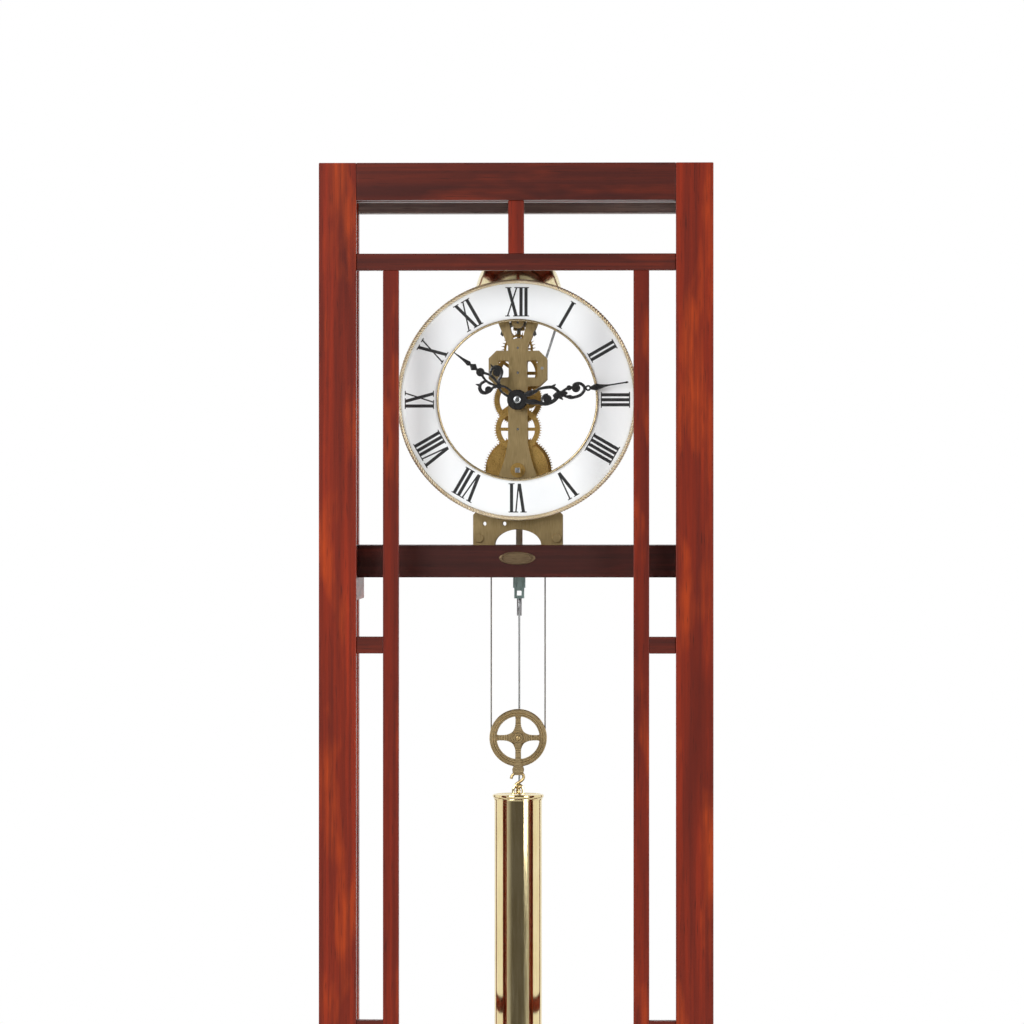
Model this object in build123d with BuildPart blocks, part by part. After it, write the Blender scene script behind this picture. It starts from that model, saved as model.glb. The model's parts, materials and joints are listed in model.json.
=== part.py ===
"""Open-frame longcase clock with a weight, a cable, a seconds pendulum and an hour bell.

Frame: +Z up, origin on the floor under the middle of the case, the door faces -Y, +X is to the
right of someone reading the dial. All sizes are in millimetres. Heights in the movement are
counted from the centre arbor, which carries the hands.
"""
import os
from math import cos, radians, sin

from build123d import *

os.makedirs("parts", exist_ok=True)

# Case: overall sizes
case_width = 400
case_depth = 250
case_height = 1756
foot_height = 8
foot_radius = 14

# Door frame
door_thickness = 22
door_gap = 2.5
stile_width = 38
rail_height = 38
lite_height = 54
bar_height = 17
muntin_width = 16
muntin_gap = 27
bar_thickness = 12
bar_setback = 2
cross_bar_drop = 489
rebate_width = 8
glass_thickness = 3
glass_clearance = 1
hinge_chamfer = 7
grip_radius = 14
grip_length = 70
grip_depth = 5

# Hinges
hinge_barrel_radius = 3
hinge_length = 48
hinge_leaf = 1
hinge_leaf_width = 20
hinge_pin_radius = 1.2
hinge_top_drop = 111.5
running_fit = 0.05
knuckle_gap = 0.4

# Case frame
post_depth = 22
front_post_width = 34
back_post_width = 28
side_frame = 22
side_bar_thickness = 11
board_thickness = 12

# Seat board, which carries the movement
seat_drop = 388
seat_thickness = 33
seat_front = -72
seat_back = 48
cleat_width = 12
cleat_height = 24
badge_half_length = 18.5
badge_half_height = 6.7
badge_thickness = 1.5

# Movement plates
centre_drop = 239
plate_front = -44
plate_thickness = 3
plate_gap = 40
foot_half_width = 46
arch_half_width = 24
arch_height = 16
pillar_radius = 4
pillar_tenon = 2.5
screw_head = 4.5
screw_head_thickness = 2.5
top_pillar = (17, 88)
base_pillar = (40, -142)
pivot_radius = 1.2

# Going train: teeth, modules and arbor heights above the centre arbor
great_teeth = 78
great_module = 0.9
second_leaves = 16
second_teeth = 56
second_module = 0.85
centre_leaves = 14
centre_teeth = 72
centre_module = 0.7
third_leaves = 9
third_teeth = 90
third_module = 0.5
escape_leaves = 12
escape_teeth = 30
escape_radius = 18.4
anchor_rise = 26
second_height = -second_module * (second_teeth + centre_leaves) / 2
great_height = second_height - great_module * (great_teeth + second_leaves) / 2
third_height = centre_module * (centre_teeth + third_leaves) / 2
escape_height = third_height + third_module * (third_teeth + escape_leaves) / 2
anchor_height = escape_height + anchor_rise

# Motion work behind the dial
cannon_leaves = 12
minute_teeth = 36
motion_module = 0.5
minute_leaves = 10
hour_teeth = 40
hour_module = 0.48
minute_offset = motion_module * (cannon_leaves + minute_teeth) / 2

# Dial and hands
dial_station = 18
dial_thickness = 1.5
dial_radius = 122
dial_opening = 81
rope_radius = 2.4
bead_radius = 1.2
hour_length = 81
minute_length = 116
hand_thickness = 0.8
minutes_shown = 13.5
hours_shown = 10 + minutes_shown / 60

# Drum, cable and weight
cable_radius = 0.75
drum_radius = 27
drum_flange = 31
drum_station = 5
drum_length = 21
ratchet_radius = 20
ratchet_teeth = 30
winding_radius = 5
winding_square = 5
winding_collar = 7.5
cable_station = 15.5
cable_reach = drum_radius + cable_radius + 0.05
pulley_drop = 348
pulley_lip = 1.8
pulley_rim_depth = 7.4
pulley_width = 8
pulley_pin = 3
strap_width = 5.5
strap_thickness = 1.6
weight_radius = 24.5
weight_cap_radius = 26.5
weight_cap_height = 6
weight_drop = 58
weight_length = 310

# Pendulum
pendulum_station = 24
spring_thickness = 0.4
leader_width = 6.8
leader_thickness = 3
hook_drop = 56
sleeve_length = 18
rod_radius = 1
bob_drop = 906
bob_radius = 75
bob_thickness = 26
bob_edge = 2
nut_radius = 9

# Bell and hammer
bell_station = 33
bell_radius = 44.5
bell_rim_rise = 116
bell_rise = 30
bell_wall = 2.2
hammer_pivot = (25, 33)
hammer_bend = (39.5, 78)
hammer_head = (35.6, 119.5)

half_width = case_width / 2
case_bottom = foot_height
case_top = foot_height + case_height
centre_height = case_top - centre_drop
seat_top = case_top - seat_drop
pulley_height = centre_height - pulley_drop
weight_top = pulley_height - weight_drop
hook_bottom = seat_top - hook_drop
sleeve_bottom = hook_bottom - sleeve_length
bob_height = centre_height - bob_drop
bell_rim = centre_height + bell_rim_rise
door_front = -case_depth / 2
door_back = door_front + door_thickness
case_front = door_back + door_gap
case_back = case_depth / 2
inner_front = case_front + post_depth
inner_back = case_back - post_depth
opening_half = half_width - stile_width
opening_bottom = case_bottom + rail_height
opening_top = case_top - rail_height
upper_bar_top = opening_top - lite_height
lower_bar_top = opening_bottom + lite_height + bar_height
middle_height = (case_bottom + case_top) / 2
cross_bar_heights = (case_top - cross_bar_drop, middle_height, case_bottom + cross_bar_drop)
bar_front = door_front + bar_setback
bar_back = bar_front + bar_thickness
muntin_outer = opening_half - muntin_gap
side_inner = half_width - side_frame
bay_front = plate_front + plate_thickness
plate_back = bay_front + plate_gap
movement_back = plate_back + plate_thickness
drum_front = bay_front + drum_station
cable_y = bay_front + cable_station
bell_y = bay_front + bell_station
pendulum_y = movement_back + pendulum_station
dial_front = plate_front - dial_station
pulley_radius = cable_reach + pulley_lip


def finish(builder, name):
    """Label a finished sub-part and write it to its own file."""
    builder.part.label = name
    export_step(builder.part, f"parts/{name}.step")


def slab(x0, x1, y0, y1, z0, z1, mode=Mode.ADD):
    """Add or cut a rectangular block given by its limits."""
    with Locations(((x0 + x1) / 2, (y0 + y1) / 2, (z0 + z1) / 2)):
        Box(x1 - x0, y1 - y0, z1 - z0, mode=mode)


def rod(x, z, radius, y0, y1, mode=Mode.ADD):
    """Add or cut a cylinder along Y."""
    with Locations(Location((x, (y0 + y1) / 2, z), (90, 0, 0))):
        Cylinder(radius, y1 - y0, mode=mode)


def post(x, y, radius, z0, z1, mode=Mode.ADD):
    """Add or cut a cylinder along Z."""
    with Locations((x, y, (z0 + z1) / 2)):
        Cylinder(radius, z1 - z0, mode=mode)


def face_plane(y, height=centre_height, x=0, turn=0):
    """A plane facing the reader: local X to the right (or turned), local Y up."""
    return Plane((x, y, height), x_dir=(cos(radians(turn)), 0, sin(radians(turn))), z_dir=(0, -1, 0))


def tooth_ring(teeth, module, root, tip, addendum, dedendum, first):
    """Corners of a toothed outline, with one tooth centred on the angle first."""
    pitch_radius = teeth * module / 2
    low = pitch_radius - dedendum * module
    high = pitch_radius + addendum * module
    points = []
    for i in range(teeth):
        for radius, share in ((low, -root), (high, -tip), (high, tip), (low, root)):
            angle = radians(first + (i + share) * 360 / teeth)
            points.append((radius * cos(angle), radius * sin(angle)))
    return points


def wheel_teeth(teeth, module, mesh_side):
    """A wheel with a gap between teeth on the side where its pinion runs."""
    return tooth_ring(teeth, module, 0.24, 0.09, 0.75, 1.15, mesh_side + 180 / teeth)


def pinion_teeth(teeth, module, mesh_side):
    """A pinion with a leaf on the side where its wheel runs."""
    return tooth_ring(teeth, module, 0.17, 0.10, 0.6, 1.25, mesh_side)


def make_wheel(outline, height, y_front, thickness, rim, hub, arms, bore, x=0, arm_width=3.4):
    """A thin toothed wheel with crossings cut out between its rim and its hub."""
    plane = face_plane(y_front + thickness, centre_height + height, x)
    with BuildPart() as wheel:
        with BuildSketch(plane):
            Polygon(*outline, align=None)
            Circle(bore, mode=Mode.SUBTRACT)
        extrude(amount=thickness)
        with BuildSketch(plane):
            Circle(rim)
            Circle(hub, mode=Mode.SUBTRACT)
            with PolarLocations((rim + hub) / 2, arms):
                Rectangle(rim, arm_width, mode=Mode.SUBTRACT)
        extrude(amount=thickness, mode=Mode.SUBTRACT)
    return wheel


def make_arbor(height, radius, y_front, y_back, leaves=None, leaf_front=0, leaf_back=0):
    """A steel arbor with a pivot at each end, and its pinion cut from the same bar."""
    z = centre_height + height
    shoulder_front = plate_front + plate_thickness + 0.5
    shoulder_back = plate_back - 0.5
    with BuildPart() as arbor:
        rod(0, z, pivot_radius, y_front, y_back)
        rod(0, z, radius, shoulder_front, shoulder_back)
        if leaves:
            with BuildSketch(face_plane(leaf_back, z)):
                Polygon(*leaves, align=None)
            extrude(amount=leaf_back - leaf_front)
    return arbor


# ---------------------------------------------------------------- door

for side, name in ((-1, "door_stile_left"), (1, "door_stile_right")):
    with BuildPart() as stile:
        outer = side * half_width
        inner = side * opening_half
        rebate = side * (opening_half + rebate_width)
        slab(min(outer, inner), max(outer, inner), door_front, door_back, case_bottom, case_top)
        slab(min(rebate, inner), max(rebate, inner), bar_back, door_back,
             opening_bottom - rebate_width, opening_top + rebate_width, Mode.SUBTRACT)
        if side > 0:
            rear_edge = stile.edges().filter_by(Axis.Z).filter_by_position(
                Axis.X, half_width - 0.1, half_width + 0.1).sort_by(Axis.Y)[-1]
            chamfer(rear_edge, hinge_chamfer)
        else:
            with Locations((outer - grip_radius + grip_depth, door_back, middle_height)):
                Cylinder(grip_radius, grip_length, mode=Mode.SUBTRACT)
    finish(stile, name)

with BuildPart() as door_rails:
    slab(-opening_half, opening_half, door_front, door_back, opening_top, case_top)
    slab(-opening_half, opening_half, door_front, door_back, case_bottom, opening_bottom)
    for z0 in (opening_top, opening_bottom - rebate_width):
        slab(-opening_half, opening_half, bar_back, door_back, z0, z0 + rebate_width, Mode.SUBTRACT)
finish(door_rails, "door_rails")

with BuildPart() as door_bars:
    slab(-opening_half, opening_half, bar_front, bar_back, upper_bar_top - bar_height, upper_bar_top)
    slab(-opening_half, opening_half, bar_front, bar_back, lower_bar_top - bar_height, lower_bar_top)
    for height in cross_bar_heights:
        for side in (-1, 1):
            ends = sorted((side * opening_half, side * muntin_outer))
            slab(ends[0], ends[1], bar_front, bar_back, height - bar_height / 2, height + bar_height / 2)
finish(door_bars, "door_bars")

with BuildPart() as door_muntins:
    for side in (-1, 1):
        edges_x = sorted((side * muntin_outer, side * (muntin_outer - muntin_width)))
        slab(edges_x[0], edges_x[1], bar_front, bar_back, lower_bar_top, upper_bar_top - bar_height)
    slab(-muntin_width / 2, muntin_width / 2, bar_front, bar_back, upper_bar_top, opening_top)
    slab(-muntin_width / 2, muntin_width / 2, bar_front, bar_back,
         opening_bottom, lower_bar_top - bar_height)
finish(door_muntins, "door_muntins")

pane_half = opening_half + rebate_width - glass_clearance
pane_bottom = opening_bottom - rebate_width + glass_clearance
pane_top = opening_top + rebate_width - glass_clearance
with BuildPart() as door_glass:
    slab(-pane_half, pane_half, bar_back, bar_back + glass_thickness, pane_bottom, pane_top)
finish(door_glass, "door_glass")

bead_front = bar_back + glass_thickness
bead_width = rebate_width - glass_clearance
bead_x = opening_half + rebate_width
bead_z0 = opening_bottom - rebate_width
bead_z1 = opening_top + rebate_width
with BuildPart() as door_beads:
    slab(-bead_x, bead_x, bead_front, door_back, bead_z0, bead_z1)
    slab(-bead_x + bead_width, bead_x - bead_width, bead_front, door_back,
         bead_z0 + bead_width, bead_z1 - bead_width, Mode.SUBTRACT)
finish(door_beads, "door_glass_beads")

# ---------------------------------------------------------------- hinges and catch

hinge_x = half_width - hinge_barrel_radius
hinge_y = door_back + door_gap / 2
leaf_x = hinge_x - hinge_leaf_width
leaf_end = hinge_x - hinge_barrel_radius - 1.5
hinge_heights = (case_top - hinge_top_drop, middle_height, case_bottom + hinge_top_drop)
knuckle = (hinge_length - 2 * knuckle_gap) / 3
knuckle_low = knuckle / 2
knuckle_high = hinge_length / 2


def hinge_leaves(y0, y1, spans):
    """One leaf of each hinge: a plate, and the knuckles that stand on the spans given."""
    with BuildPart() as leaves:
        for height in hinge_heights:
            slab(leaf_x, leaf_end, y0, y1, height - knuckle_high, height + knuckle_high)
            for low, high in spans:
                slab(leaf_end, hinge_x, y0, y1, height + low, height + high)
                post(hinge_x, hinge_y, hinge_barrel_radius, height + low, height + high)
                post(hinge_x, hinge_y, hinge_pin_radius + running_fit,
                     height + low, height + high, Mode.SUBTRACT)
    return leaves


door_leaves = hinge_leaves(door_back, door_back + hinge_leaf, ((-knuckle_low, knuckle_low),))
finish(door_leaves, "hinge_door_leaves")

case_leaves = hinge_leaves(case_front - hinge_leaf, case_front,
                           ((-knuckle_high, -knuckle_low - knuckle_gap),
                            (knuckle_low + knuckle_gap, knuckle_high)))
finish(case_leaves, "hinge_case_leaves")

with BuildPart() as hinge_pins:
    for height in hinge_heights:
        post(hinge_x, hinge_y, hinge_pin_radius, height - knuckle_high - 0.5, height + knuckle_high)
        post(hinge_x, hinge_y, hinge_barrel_radius - 0.6, height + knuckle_high,
             height + knuckle_high + 2)
finish(hinge_pins, "hinge_pins")

catch_x0 = -half_width + 6
catch_x1 = catch_x0 + 15
catch_half = 15
catch_depth = 10
keeper_thickness = 1
catch_clearance = 0.3
catch_front = door_back + keeper_thickness + catch_clearance
with BuildPart() as catch_keeper:
    slab(catch_x0, catch_x1, door_back, door_back + keeper_thickness,
         lower_bar_top - catch_half, lower_bar_top + catch_half)
finish(catch_keeper, "catch_keeper")

with BuildPart() as magnetic_catch:
    slab(catch_x0, catch_x1, catch_front, catch_front + catch_depth,
         lower_bar_top - catch_half, lower_bar_top + catch_half)
finish(magnetic_catch, "magnetic_catch")

# ---------------------------------------------------------------- case frame

with BuildPart() as front_posts:
    for side in (-1, 1):
        post_x = sorted((side * half_width, side * (half_width - front_post_width)))
        slab(post_x[0], post_x[1], case_front, inner_front, case_bottom, case_top)
    front_edge = front_posts.edges().filter_by(Axis.Z).filter_by_position(
        Axis.X, half_width - 0.1, half_width + 0.1).sort_by(Axis.Y)[0]
    chamfer(front_edge, hinge_chamfer)
    slab(catch_x0, catch_x1, case_front - 1, catch_front + catch_depth,
         lower_bar_top - catch_half, lower_bar_top + catch_half, Mode.SUBTRACT)
finish(front_posts, "front_posts")

with BuildPart() as back_posts:
    for side in (-1, 1):
        post_x = sorted((side * half_width, side * (half_width - back_post_width)))
        slab(post_x[0], post_x[1], inner_back, case_back, case_bottom, case_top)
finish(back_posts, "back_posts")

front_inner = half_width - front_post_width
back_inner = half_width - back_post_width
with BuildPart() as front_rails:
    slab(-front_inner, front_inner, case_front, inner_front, opening_top, case_top)
    slab(-front_inner, front_inner, case_front, inner_front, case_bottom, opening_bottom)
finish(front_rails, "case_front_rails")

with BuildPart() as back_rails:
    slab(-back_inner, back_inner, inner_back, case_back, opening_top, case_top)
    slab(-back_inner, back_inner, inner_back, case_back, case_bottom, opening_bottom)
finish(back_rails, "case_back_rails")

seat_bottom = seat_top - seat_thickness
with BuildPart() as side_rails:
    for side in (-1, 1):
        rail_x = sorted((side * half_width, side * side_inner))
        bar_x = sorted((side * half_width, side * (half_width - side_bar_thickness)))
        cleat_x = sorted((side * side_inner, side * (side_inner - cleat_width)))
        slab(rail_x[0], rail_x[1], inner_front, inner_back, opening_top, case_top)
        slab(rail_x[0], rail_x[1], inner_front, inner_back, case_bottom, opening_bottom)
        for height in cross_bar_heights:
            slab(bar_x[0], bar_x[1], inner_front, inner_back,
                 height - bar_height / 2, height + bar_height / 2)
        slab(cleat_x[0], cleat_x[1], inner_front, inner_back, seat_bottom - cleat_height, seat_bottom)
finish(side_rails, "side_rails")

with BuildPart() as case_boards:
    for z1 in (case_top, opening_bottom):
        slab(-side_inner, side_inner, inner_front, inner_back, z1 - board_thickness, z1)
finish(case_boards, "case_boards")

side_glass_x = half_width - side_bar_thickness
with BuildPart() as side_glass:
    for side in (-1, 1):
        glass_x = sorted((side * side_glass_x, side * (side_glass_x - glass_thickness)))
        slab(glass_x[0], glass_x[1], inner_front, inner_back, opening_bottom, opening_top)
finish(side_glass, "side_glass")

back_glass_y = inner_back + 3
with BuildPart() as back_glass:
    slab(-back_inner, back_inner, back_glass_y, back_glass_y + glass_thickness,
         opening_bottom, opening_top)
finish(back_glass, "back_glass")

with BuildPart() as glides:
    for x in (-half_width + 17, half_width - 17):
        for y in (case_front + post_depth / 2, case_back - post_depth / 2 - 4):
            post(x, y, foot_radius, 0, foot_height)
            chamfer(glides.edges().filter_by(GeomType.CIRCLE).group_by(Axis.Z)[0].filter_by_position(
                Axis.X, x - foot_radius - 1, x + foot_radius + 1).filter_by_position(
                Axis.Y, y - foot_radius - 1, y + foot_radius + 1), 1.5)
finish(glides, "glides")

# ---------------------------------------------------------------- seat board

anchor_eye_radius = 3.5
anchor_eye_top = seat_bottom + 7
cable_end = seat_bottom + 3.5
run_slot_x = (cable_reach - 8, cable_reach + 8)
run_slot_y = (cable_y - 8, cable_y + 8)
rod_slot_half = 22
rod_slot_y = (pendulum_y - 8, pendulum_y + 8)
with BuildPart() as seat_board:
    slab(-side_inner, side_inner, seat_front, seat_back, seat_bottom, seat_top)
    slab(run_slot_x[0], run_slot_x[1], run_slot_y[0], run_slot_y[1],
         seat_bottom, seat_top, Mode.SUBTRACT)
    slab(-rod_slot_half, rod_slot_half, rod_slot_y[0], rod_slot_y[1],
         seat_bottom, seat_top, Mode.SUBTRACT)
    post(-cable_reach, cable_y, anchor_eye_radius, seat_bottom, anchor_eye_top, Mode.SUBTRACT)
finish(seat_board, "seat_board")

badge_height = seat_bottom + seat_thickness * 0.6
with BuildPart() as badge_plate:
    with BuildSketch(face_plane(seat_front, badge_height)):
        Ellipse(badge_half_length, badge_half_height)
    extrude(amount=badge_thickness)
    chamfer(badge_plate.edges().group_by(Axis.Y)[0], 0.5)
finish(badge_plate, "badge_plate")

with BuildPart() as cable_anchor:
    post(-cable_reach, cable_y, anchor_eye_radius, seat_bottom, anchor_eye_top)
    post(-cable_reach, cable_y, cable_radius + running_fit, seat_bottom, cable_end, Mode.SUBTRACT)
finish(cable_anchor, "cable_anchor")

# ---------------------------------------------------------------- movement plates

octagon = ((12, 51), (22, 51), (30, 43), (30, 22), (22, 14.4), (-22, 14.4), (-30, 22), (-30, 43),
           (-22, 51), (-12, 51))
window_inner = 9.4
window_outer = 20.2
window_low = 23.5
window_high = 41
column_half = 10
column_top = escape_height
base_hole_radius = 2.2
hammer_bore = 1.5
plate_base = seat_top - centre_height
shoulder_height = plate_base + 31
arbor_heights = (great_height, second_height, 0, third_height, escape_height)


def make_plate(y_front, centre_bore, great_bore):
    """A skeleton plate: two horns, a column, an octagonal frame and a flared foot with an arch."""
    plane = face_plane(y_front + plate_thickness)
    with BuildPart() as plate:
        with BuildSketch(plane):
            with BuildLine():
                Polyline((0, -40), (column_half, -40))
                ThreePointArc((column_half, -40), (19, -76), (foot_half_width, shoulder_height))
                Polyline((foot_half_width, shoulder_height), (foot_half_width, plate_base),
                         (0, plate_base))
                mirror(about=Plane.YZ)
            make_face()
            with Locations((0, (column_top - 45) / 2)):
                Rectangle(2 * column_half, column_top + 45)
            with Locations((0, column_top)):
                Circle(column_half)
            Polygon(*octagon, align=None)
            with Locations((0, great_height)):
                Circle(14)
            for side in (-1, 1):
                horn = [(side * x, z) for x, z in ((2, 50), (9.5, 54), (23, 86), (11, 88))]
                Polygon(*horn, align=None)
                with Locations((side * top_pillar[0], top_pillar[1])):
                    Circle(6)
        extrude(amount=plate_thickness)
        with BuildSketch(plane):
            with Locations((0, plate_base)):
                Ellipse(arch_half_width, arch_height)
            for side in (-1, 1):
                with Locations((side * (window_inner + window_outer) / 2,
                                (window_low + window_high) / 2)):
                    RectangleRounded(window_outer - window_inner, window_high - window_low, 1.5)
                with Locations((side * top_pillar[0], top_pillar[1]),
                               (side * base_pillar[0], base_pillar[1])):
                    Circle(pillar_tenon)
            with Locations((-34.5, plate_base + 22), (-14, plate_base + 22)):
                Circle(base_hole_radius)
            with Locations(*[(0, height) for height in arbor_heights[1:] if height != 0]):
                Circle(pivot_radius + running_fit)
            Circle(centre_bore)
            with Locations((0, great_height)):
                Circle(great_bore)
            with Locations(hammer_pivot):
                Circle(hammer_bore + running_fit)
        extrude(amount=plate_thickness, mode=Mode.SUBTRACT)
    return plate


centre_shaft = 2
great_pivot = 4
front_plate = make_plate(plate_front, centre_shaft + running_fit, great_pivot + running_fit)
finish(front_plate, "front_plate")
back_plate = make_plate(plate_back, pivot_radius + running_fit, great_pivot + running_fit)
finish(back_plate, "back_plate")

# The pillars keep the plates apart; the stud for the minute wheel is riveted in beside them.
stud_radius = 1
stud_front = plate_front - 13
cock_thickness = 3
cock_front = plate_front - cock_thickness
cock_bar = 10
with BuildPart() as plate_pillars:
    for side in (-1, 1):
        for (x, z), head in ((top_pillar, False), (base_pillar, True)):
            place_x = side * x
            place_z = centre_height + z
            front_end = plate_front if head else cock_front
            rod(place_x, place_z, pillar_radius, plate_front + plate_thickness, plate_back)
            rod(place_x, place_z, pillar_tenon, front_end, movement_back)
            if head:
                rod(place_x, place_z, screw_head, plate_front - screw_head_thickness, plate_front)
                rod(place_x, place_z, screw_head, movement_back, movement_back + screw_head_thickness)
    rod(minute_offset, centre_height, stud_radius, stud_front, plate_front)
    rod(minute_offset, centre_height, 2.2, plate_front - 3.5, plate_front)
    rod(minute_offset, centre_height, 1.8, stud_front - 0.5, stud_front + 0.8)
finish(plate_pillars, "plate_pillars")

with BuildPart() as anchor_cock:
    with BuildSketch(face_plane(plate_front)):
        with Locations((0, top_pillar[1])):
            SlotOverall(2 * top_pillar[0] + 12, cock_bar)
        with Locations((0, anchor_height)):
            Circle(6)
        with Locations((0, (anchor_height + top_pillar[1]) / 2)):
            Rectangle(12, top_pillar[1] - anchor_height)
        with Locations((0, anchor_height)):
            Circle(pivot_radius + running_fit, mode=Mode.SUBTRACT)
        with Locations((top_pillar[0], top_pillar[1]), (-top_pillar[0], top_pillar[1])):
            Circle(pillar_tenon, mode=Mode.SUBTRACT)
    extrude(amount=cock_thickness)
finish(anchor_cock, "anchor_cock")

# The back cock stands off the back plate, holds the anchor's rear pivot and carries the pendulum.
cock_gap = 12
cock_bar_front = movement_back + cock_gap
cock_bar_back = cock_bar_front + 4
cheek_thickness = 3
cheek_gap = 4.3
pendulum_pin = 1.5
anchor_z = centre_height + anchor_height
cock_low = centre_height + top_pillar[1] - 5
cock_high = centre_height + top_pillar[1] + 5
with BuildPart() as suspension_cock:
    for side in (-1, 1):
        foot_x = sorted((side * (top_pillar[0] - 5), side * (top_pillar[0] + 5)))
        slab(foot_x[0], foot_x[1], movement_back, cock_bar_front, cock_low, cock_high)
    slab(-22, 22, cock_bar_front, cock_bar_back, cock_low, cock_high)
    slab(-6, 6, cock_bar_front, cock_bar_back, anchor_z - 6, cock_low)
    for y in (pendulum_y - cheek_gap - cheek_thickness, pendulum_y + cheek_gap):
        slab(-5, 5, y, y + cheek_thickness, anchor_z - 6, cock_high)
    slab(-5, 5, cock_bar_back, pendulum_y + cheek_gap + cheek_thickness, cock_low + 3, cock_high)
    rod(0, anchor_z, pivot_radius + running_fit, cock_bar_front, cock_bar_back, Mode.SUBTRACT)
    rod(0, anchor_z, pendulum_pin + running_fit, pendulum_y - cheek_gap - cheek_thickness,
        pendulum_y + cheek_gap + cheek_thickness, Mode.SUBTRACT)
finish(suspension_cock, "suspension_cock")

# ---------------------------------------------------------------- drum and going train

drum_back = drum_front + drum_length
great_z = centre_height + great_height
great_wheel_front = bay_front + 29
great_wheel_thickness = 3
ratchet_front = drum_back
square_front = plate_front - 14
with BuildPart() as winding_drum:
    rod(0, great_z, drum_radius, drum_front, drum_back)
    rod(0, great_z, drum_flange, drum_front, drum_front + 1.5)
    rod(0, great_z, drum_flange, drum_back - 1.5, drum_back)
    with BuildSketch(face_plane(great_wheel_front - 0.4, great_z)):
        Polygon(*tooth_ring(ratchet_teeth, 2 * ratchet_radius / ratchet_teeth,
                            0.45, 0.05, 0, 1.4, 0), align=None)
    extrude(amount=great_wheel_front - 0.4 - ratchet_front)
    rod(0, great_z, winding_radius, plate_front + plate_thickness + 0.5, plate_back - 0.5)
    rod(0, great_z, great_pivot, plate_front, movement_back)
    slab(-winding_square / 2, winding_square / 2, square_front, plate_front,
         great_z - winding_square / 2, great_z + winding_square / 2)
    rod(0, great_z, winding_collar, plate_front - 2.2, plate_front - 0.2)
finish(winding_drum, "winding_drum")

wrap_front = drum_front + 2
wrap_back = cable_y - cable_radius - 0.25
with BuildPart() as drum_cable:
    rod(0, great_z, drum_radius + 2 * cable_radius, wrap_front, wrap_back)
    rod(0, great_z, drum_radius, wrap_front, wrap_back, Mode.SUBTRACT)
finish(drum_cable, "drum_cable")

great_outline = wheel_teeth(great_teeth, great_module, 90)
great_wheel = make_wheel(great_outline, great_height, great_wheel_front, great_wheel_thickness,
                         29, 11, 6, winding_radius + running_fit, arm_width=4)
finish(great_wheel, "great_wheel")

second_wheel_front = bay_front + 1.5
second_wheel = make_wheel(wheel_teeth(second_teeth, second_module, 90), second_height,
                          second_wheel_front, 2, 17.5, 5.5, 4, 2)
finish(second_wheel, "second_wheel")
second_arbor = make_arbor(second_height, 2, plate_front, movement_back,
                          pinion_teeth(second_leaves, great_module, -90), bay_front + 26, bay_front + 35)
finish(second_arbor, "second_arbor")

centre_wheel_front = bay_front + 8
centre_wheel = make_wheel(wheel_teeth(centre_teeth, centre_module, 90), 0,
                          centre_wheel_front, 2, 18.8, 5.5, 5, centre_shaft)
finish(centre_wheel, "centre_wheel")

minute_hand_front = dial_front - 8.5
hour_hand_front = dial_front - 5
hour_pipe_front = hour_hand_front
cannon_radius = 2.25
cannon_front = minute_hand_front + 1.8
with BuildPart() as centre_arbor:
    rod(0, centre_height, centre_shaft, plate_front, plate_back - 0.5)
    rod(0, centre_height, pivot_radius, plate_back - 0.5, movement_back)
    rod(0, centre_height, cannon_radius, cannon_front, plate_front)
    rod(0, centre_height, 1.4, minute_hand_front - 2.5, cannon_front)
    with BuildSketch(face_plane(bay_front + 5)):
        Polygon(*pinion_teeth(centre_leaves, second_module, -90), align=None)
    extrude(amount=4.5)
    with BuildSketch(face_plane(plate_front - 1)):
        Polygon(*pinion_teeth(cannon_leaves, motion_module, 0), align=None)
    extrude(amount=5)
finish(centre_arbor, "centre_arbor")

third_wheel = make_wheel(wheel_teeth(third_teeth, third_module, 90), third_height,
                         bay_front + 20, 1.5, 17.6, 5, 5, 1.5)
finish(third_wheel, "third_wheel")
third_arbor = make_arbor(third_height, 1.5, plate_front, movement_back,
                         pinion_teeth(third_leaves, centre_module, -90), bay_front + 6, bay_front + 12)
finish(third_arbor, "third_arbor")

escape_outline = []
for i in range(escape_teeth):
    for radius, share in ((escape_radius - 3.6, 0), (escape_radius, 0.35), (escape_radius - 3.2, 0.42)):
        angle = radians((i + share) * 360 / escape_teeth)
        escape_outline.append((radius * cos(angle), radius * sin(angle)))
escape_wheel = make_wheel(escape_outline, escape_height, bay_front + 32, 1.5, 12.6, 4, 5, 1.5, arm_width=1.8)
finish(escape_wheel, "escape_wheel")
escape_arbor = make_arbor(escape_height, 1.5, plate_front, movement_back,
                          pinion_teeth(escape_leaves, third_module, -90), bay_front + 17, bay_front + 24)
finish(escape_arbor, "escape_arbor")

# ---------------------------------------------------------------- anchor and crutch

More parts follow.
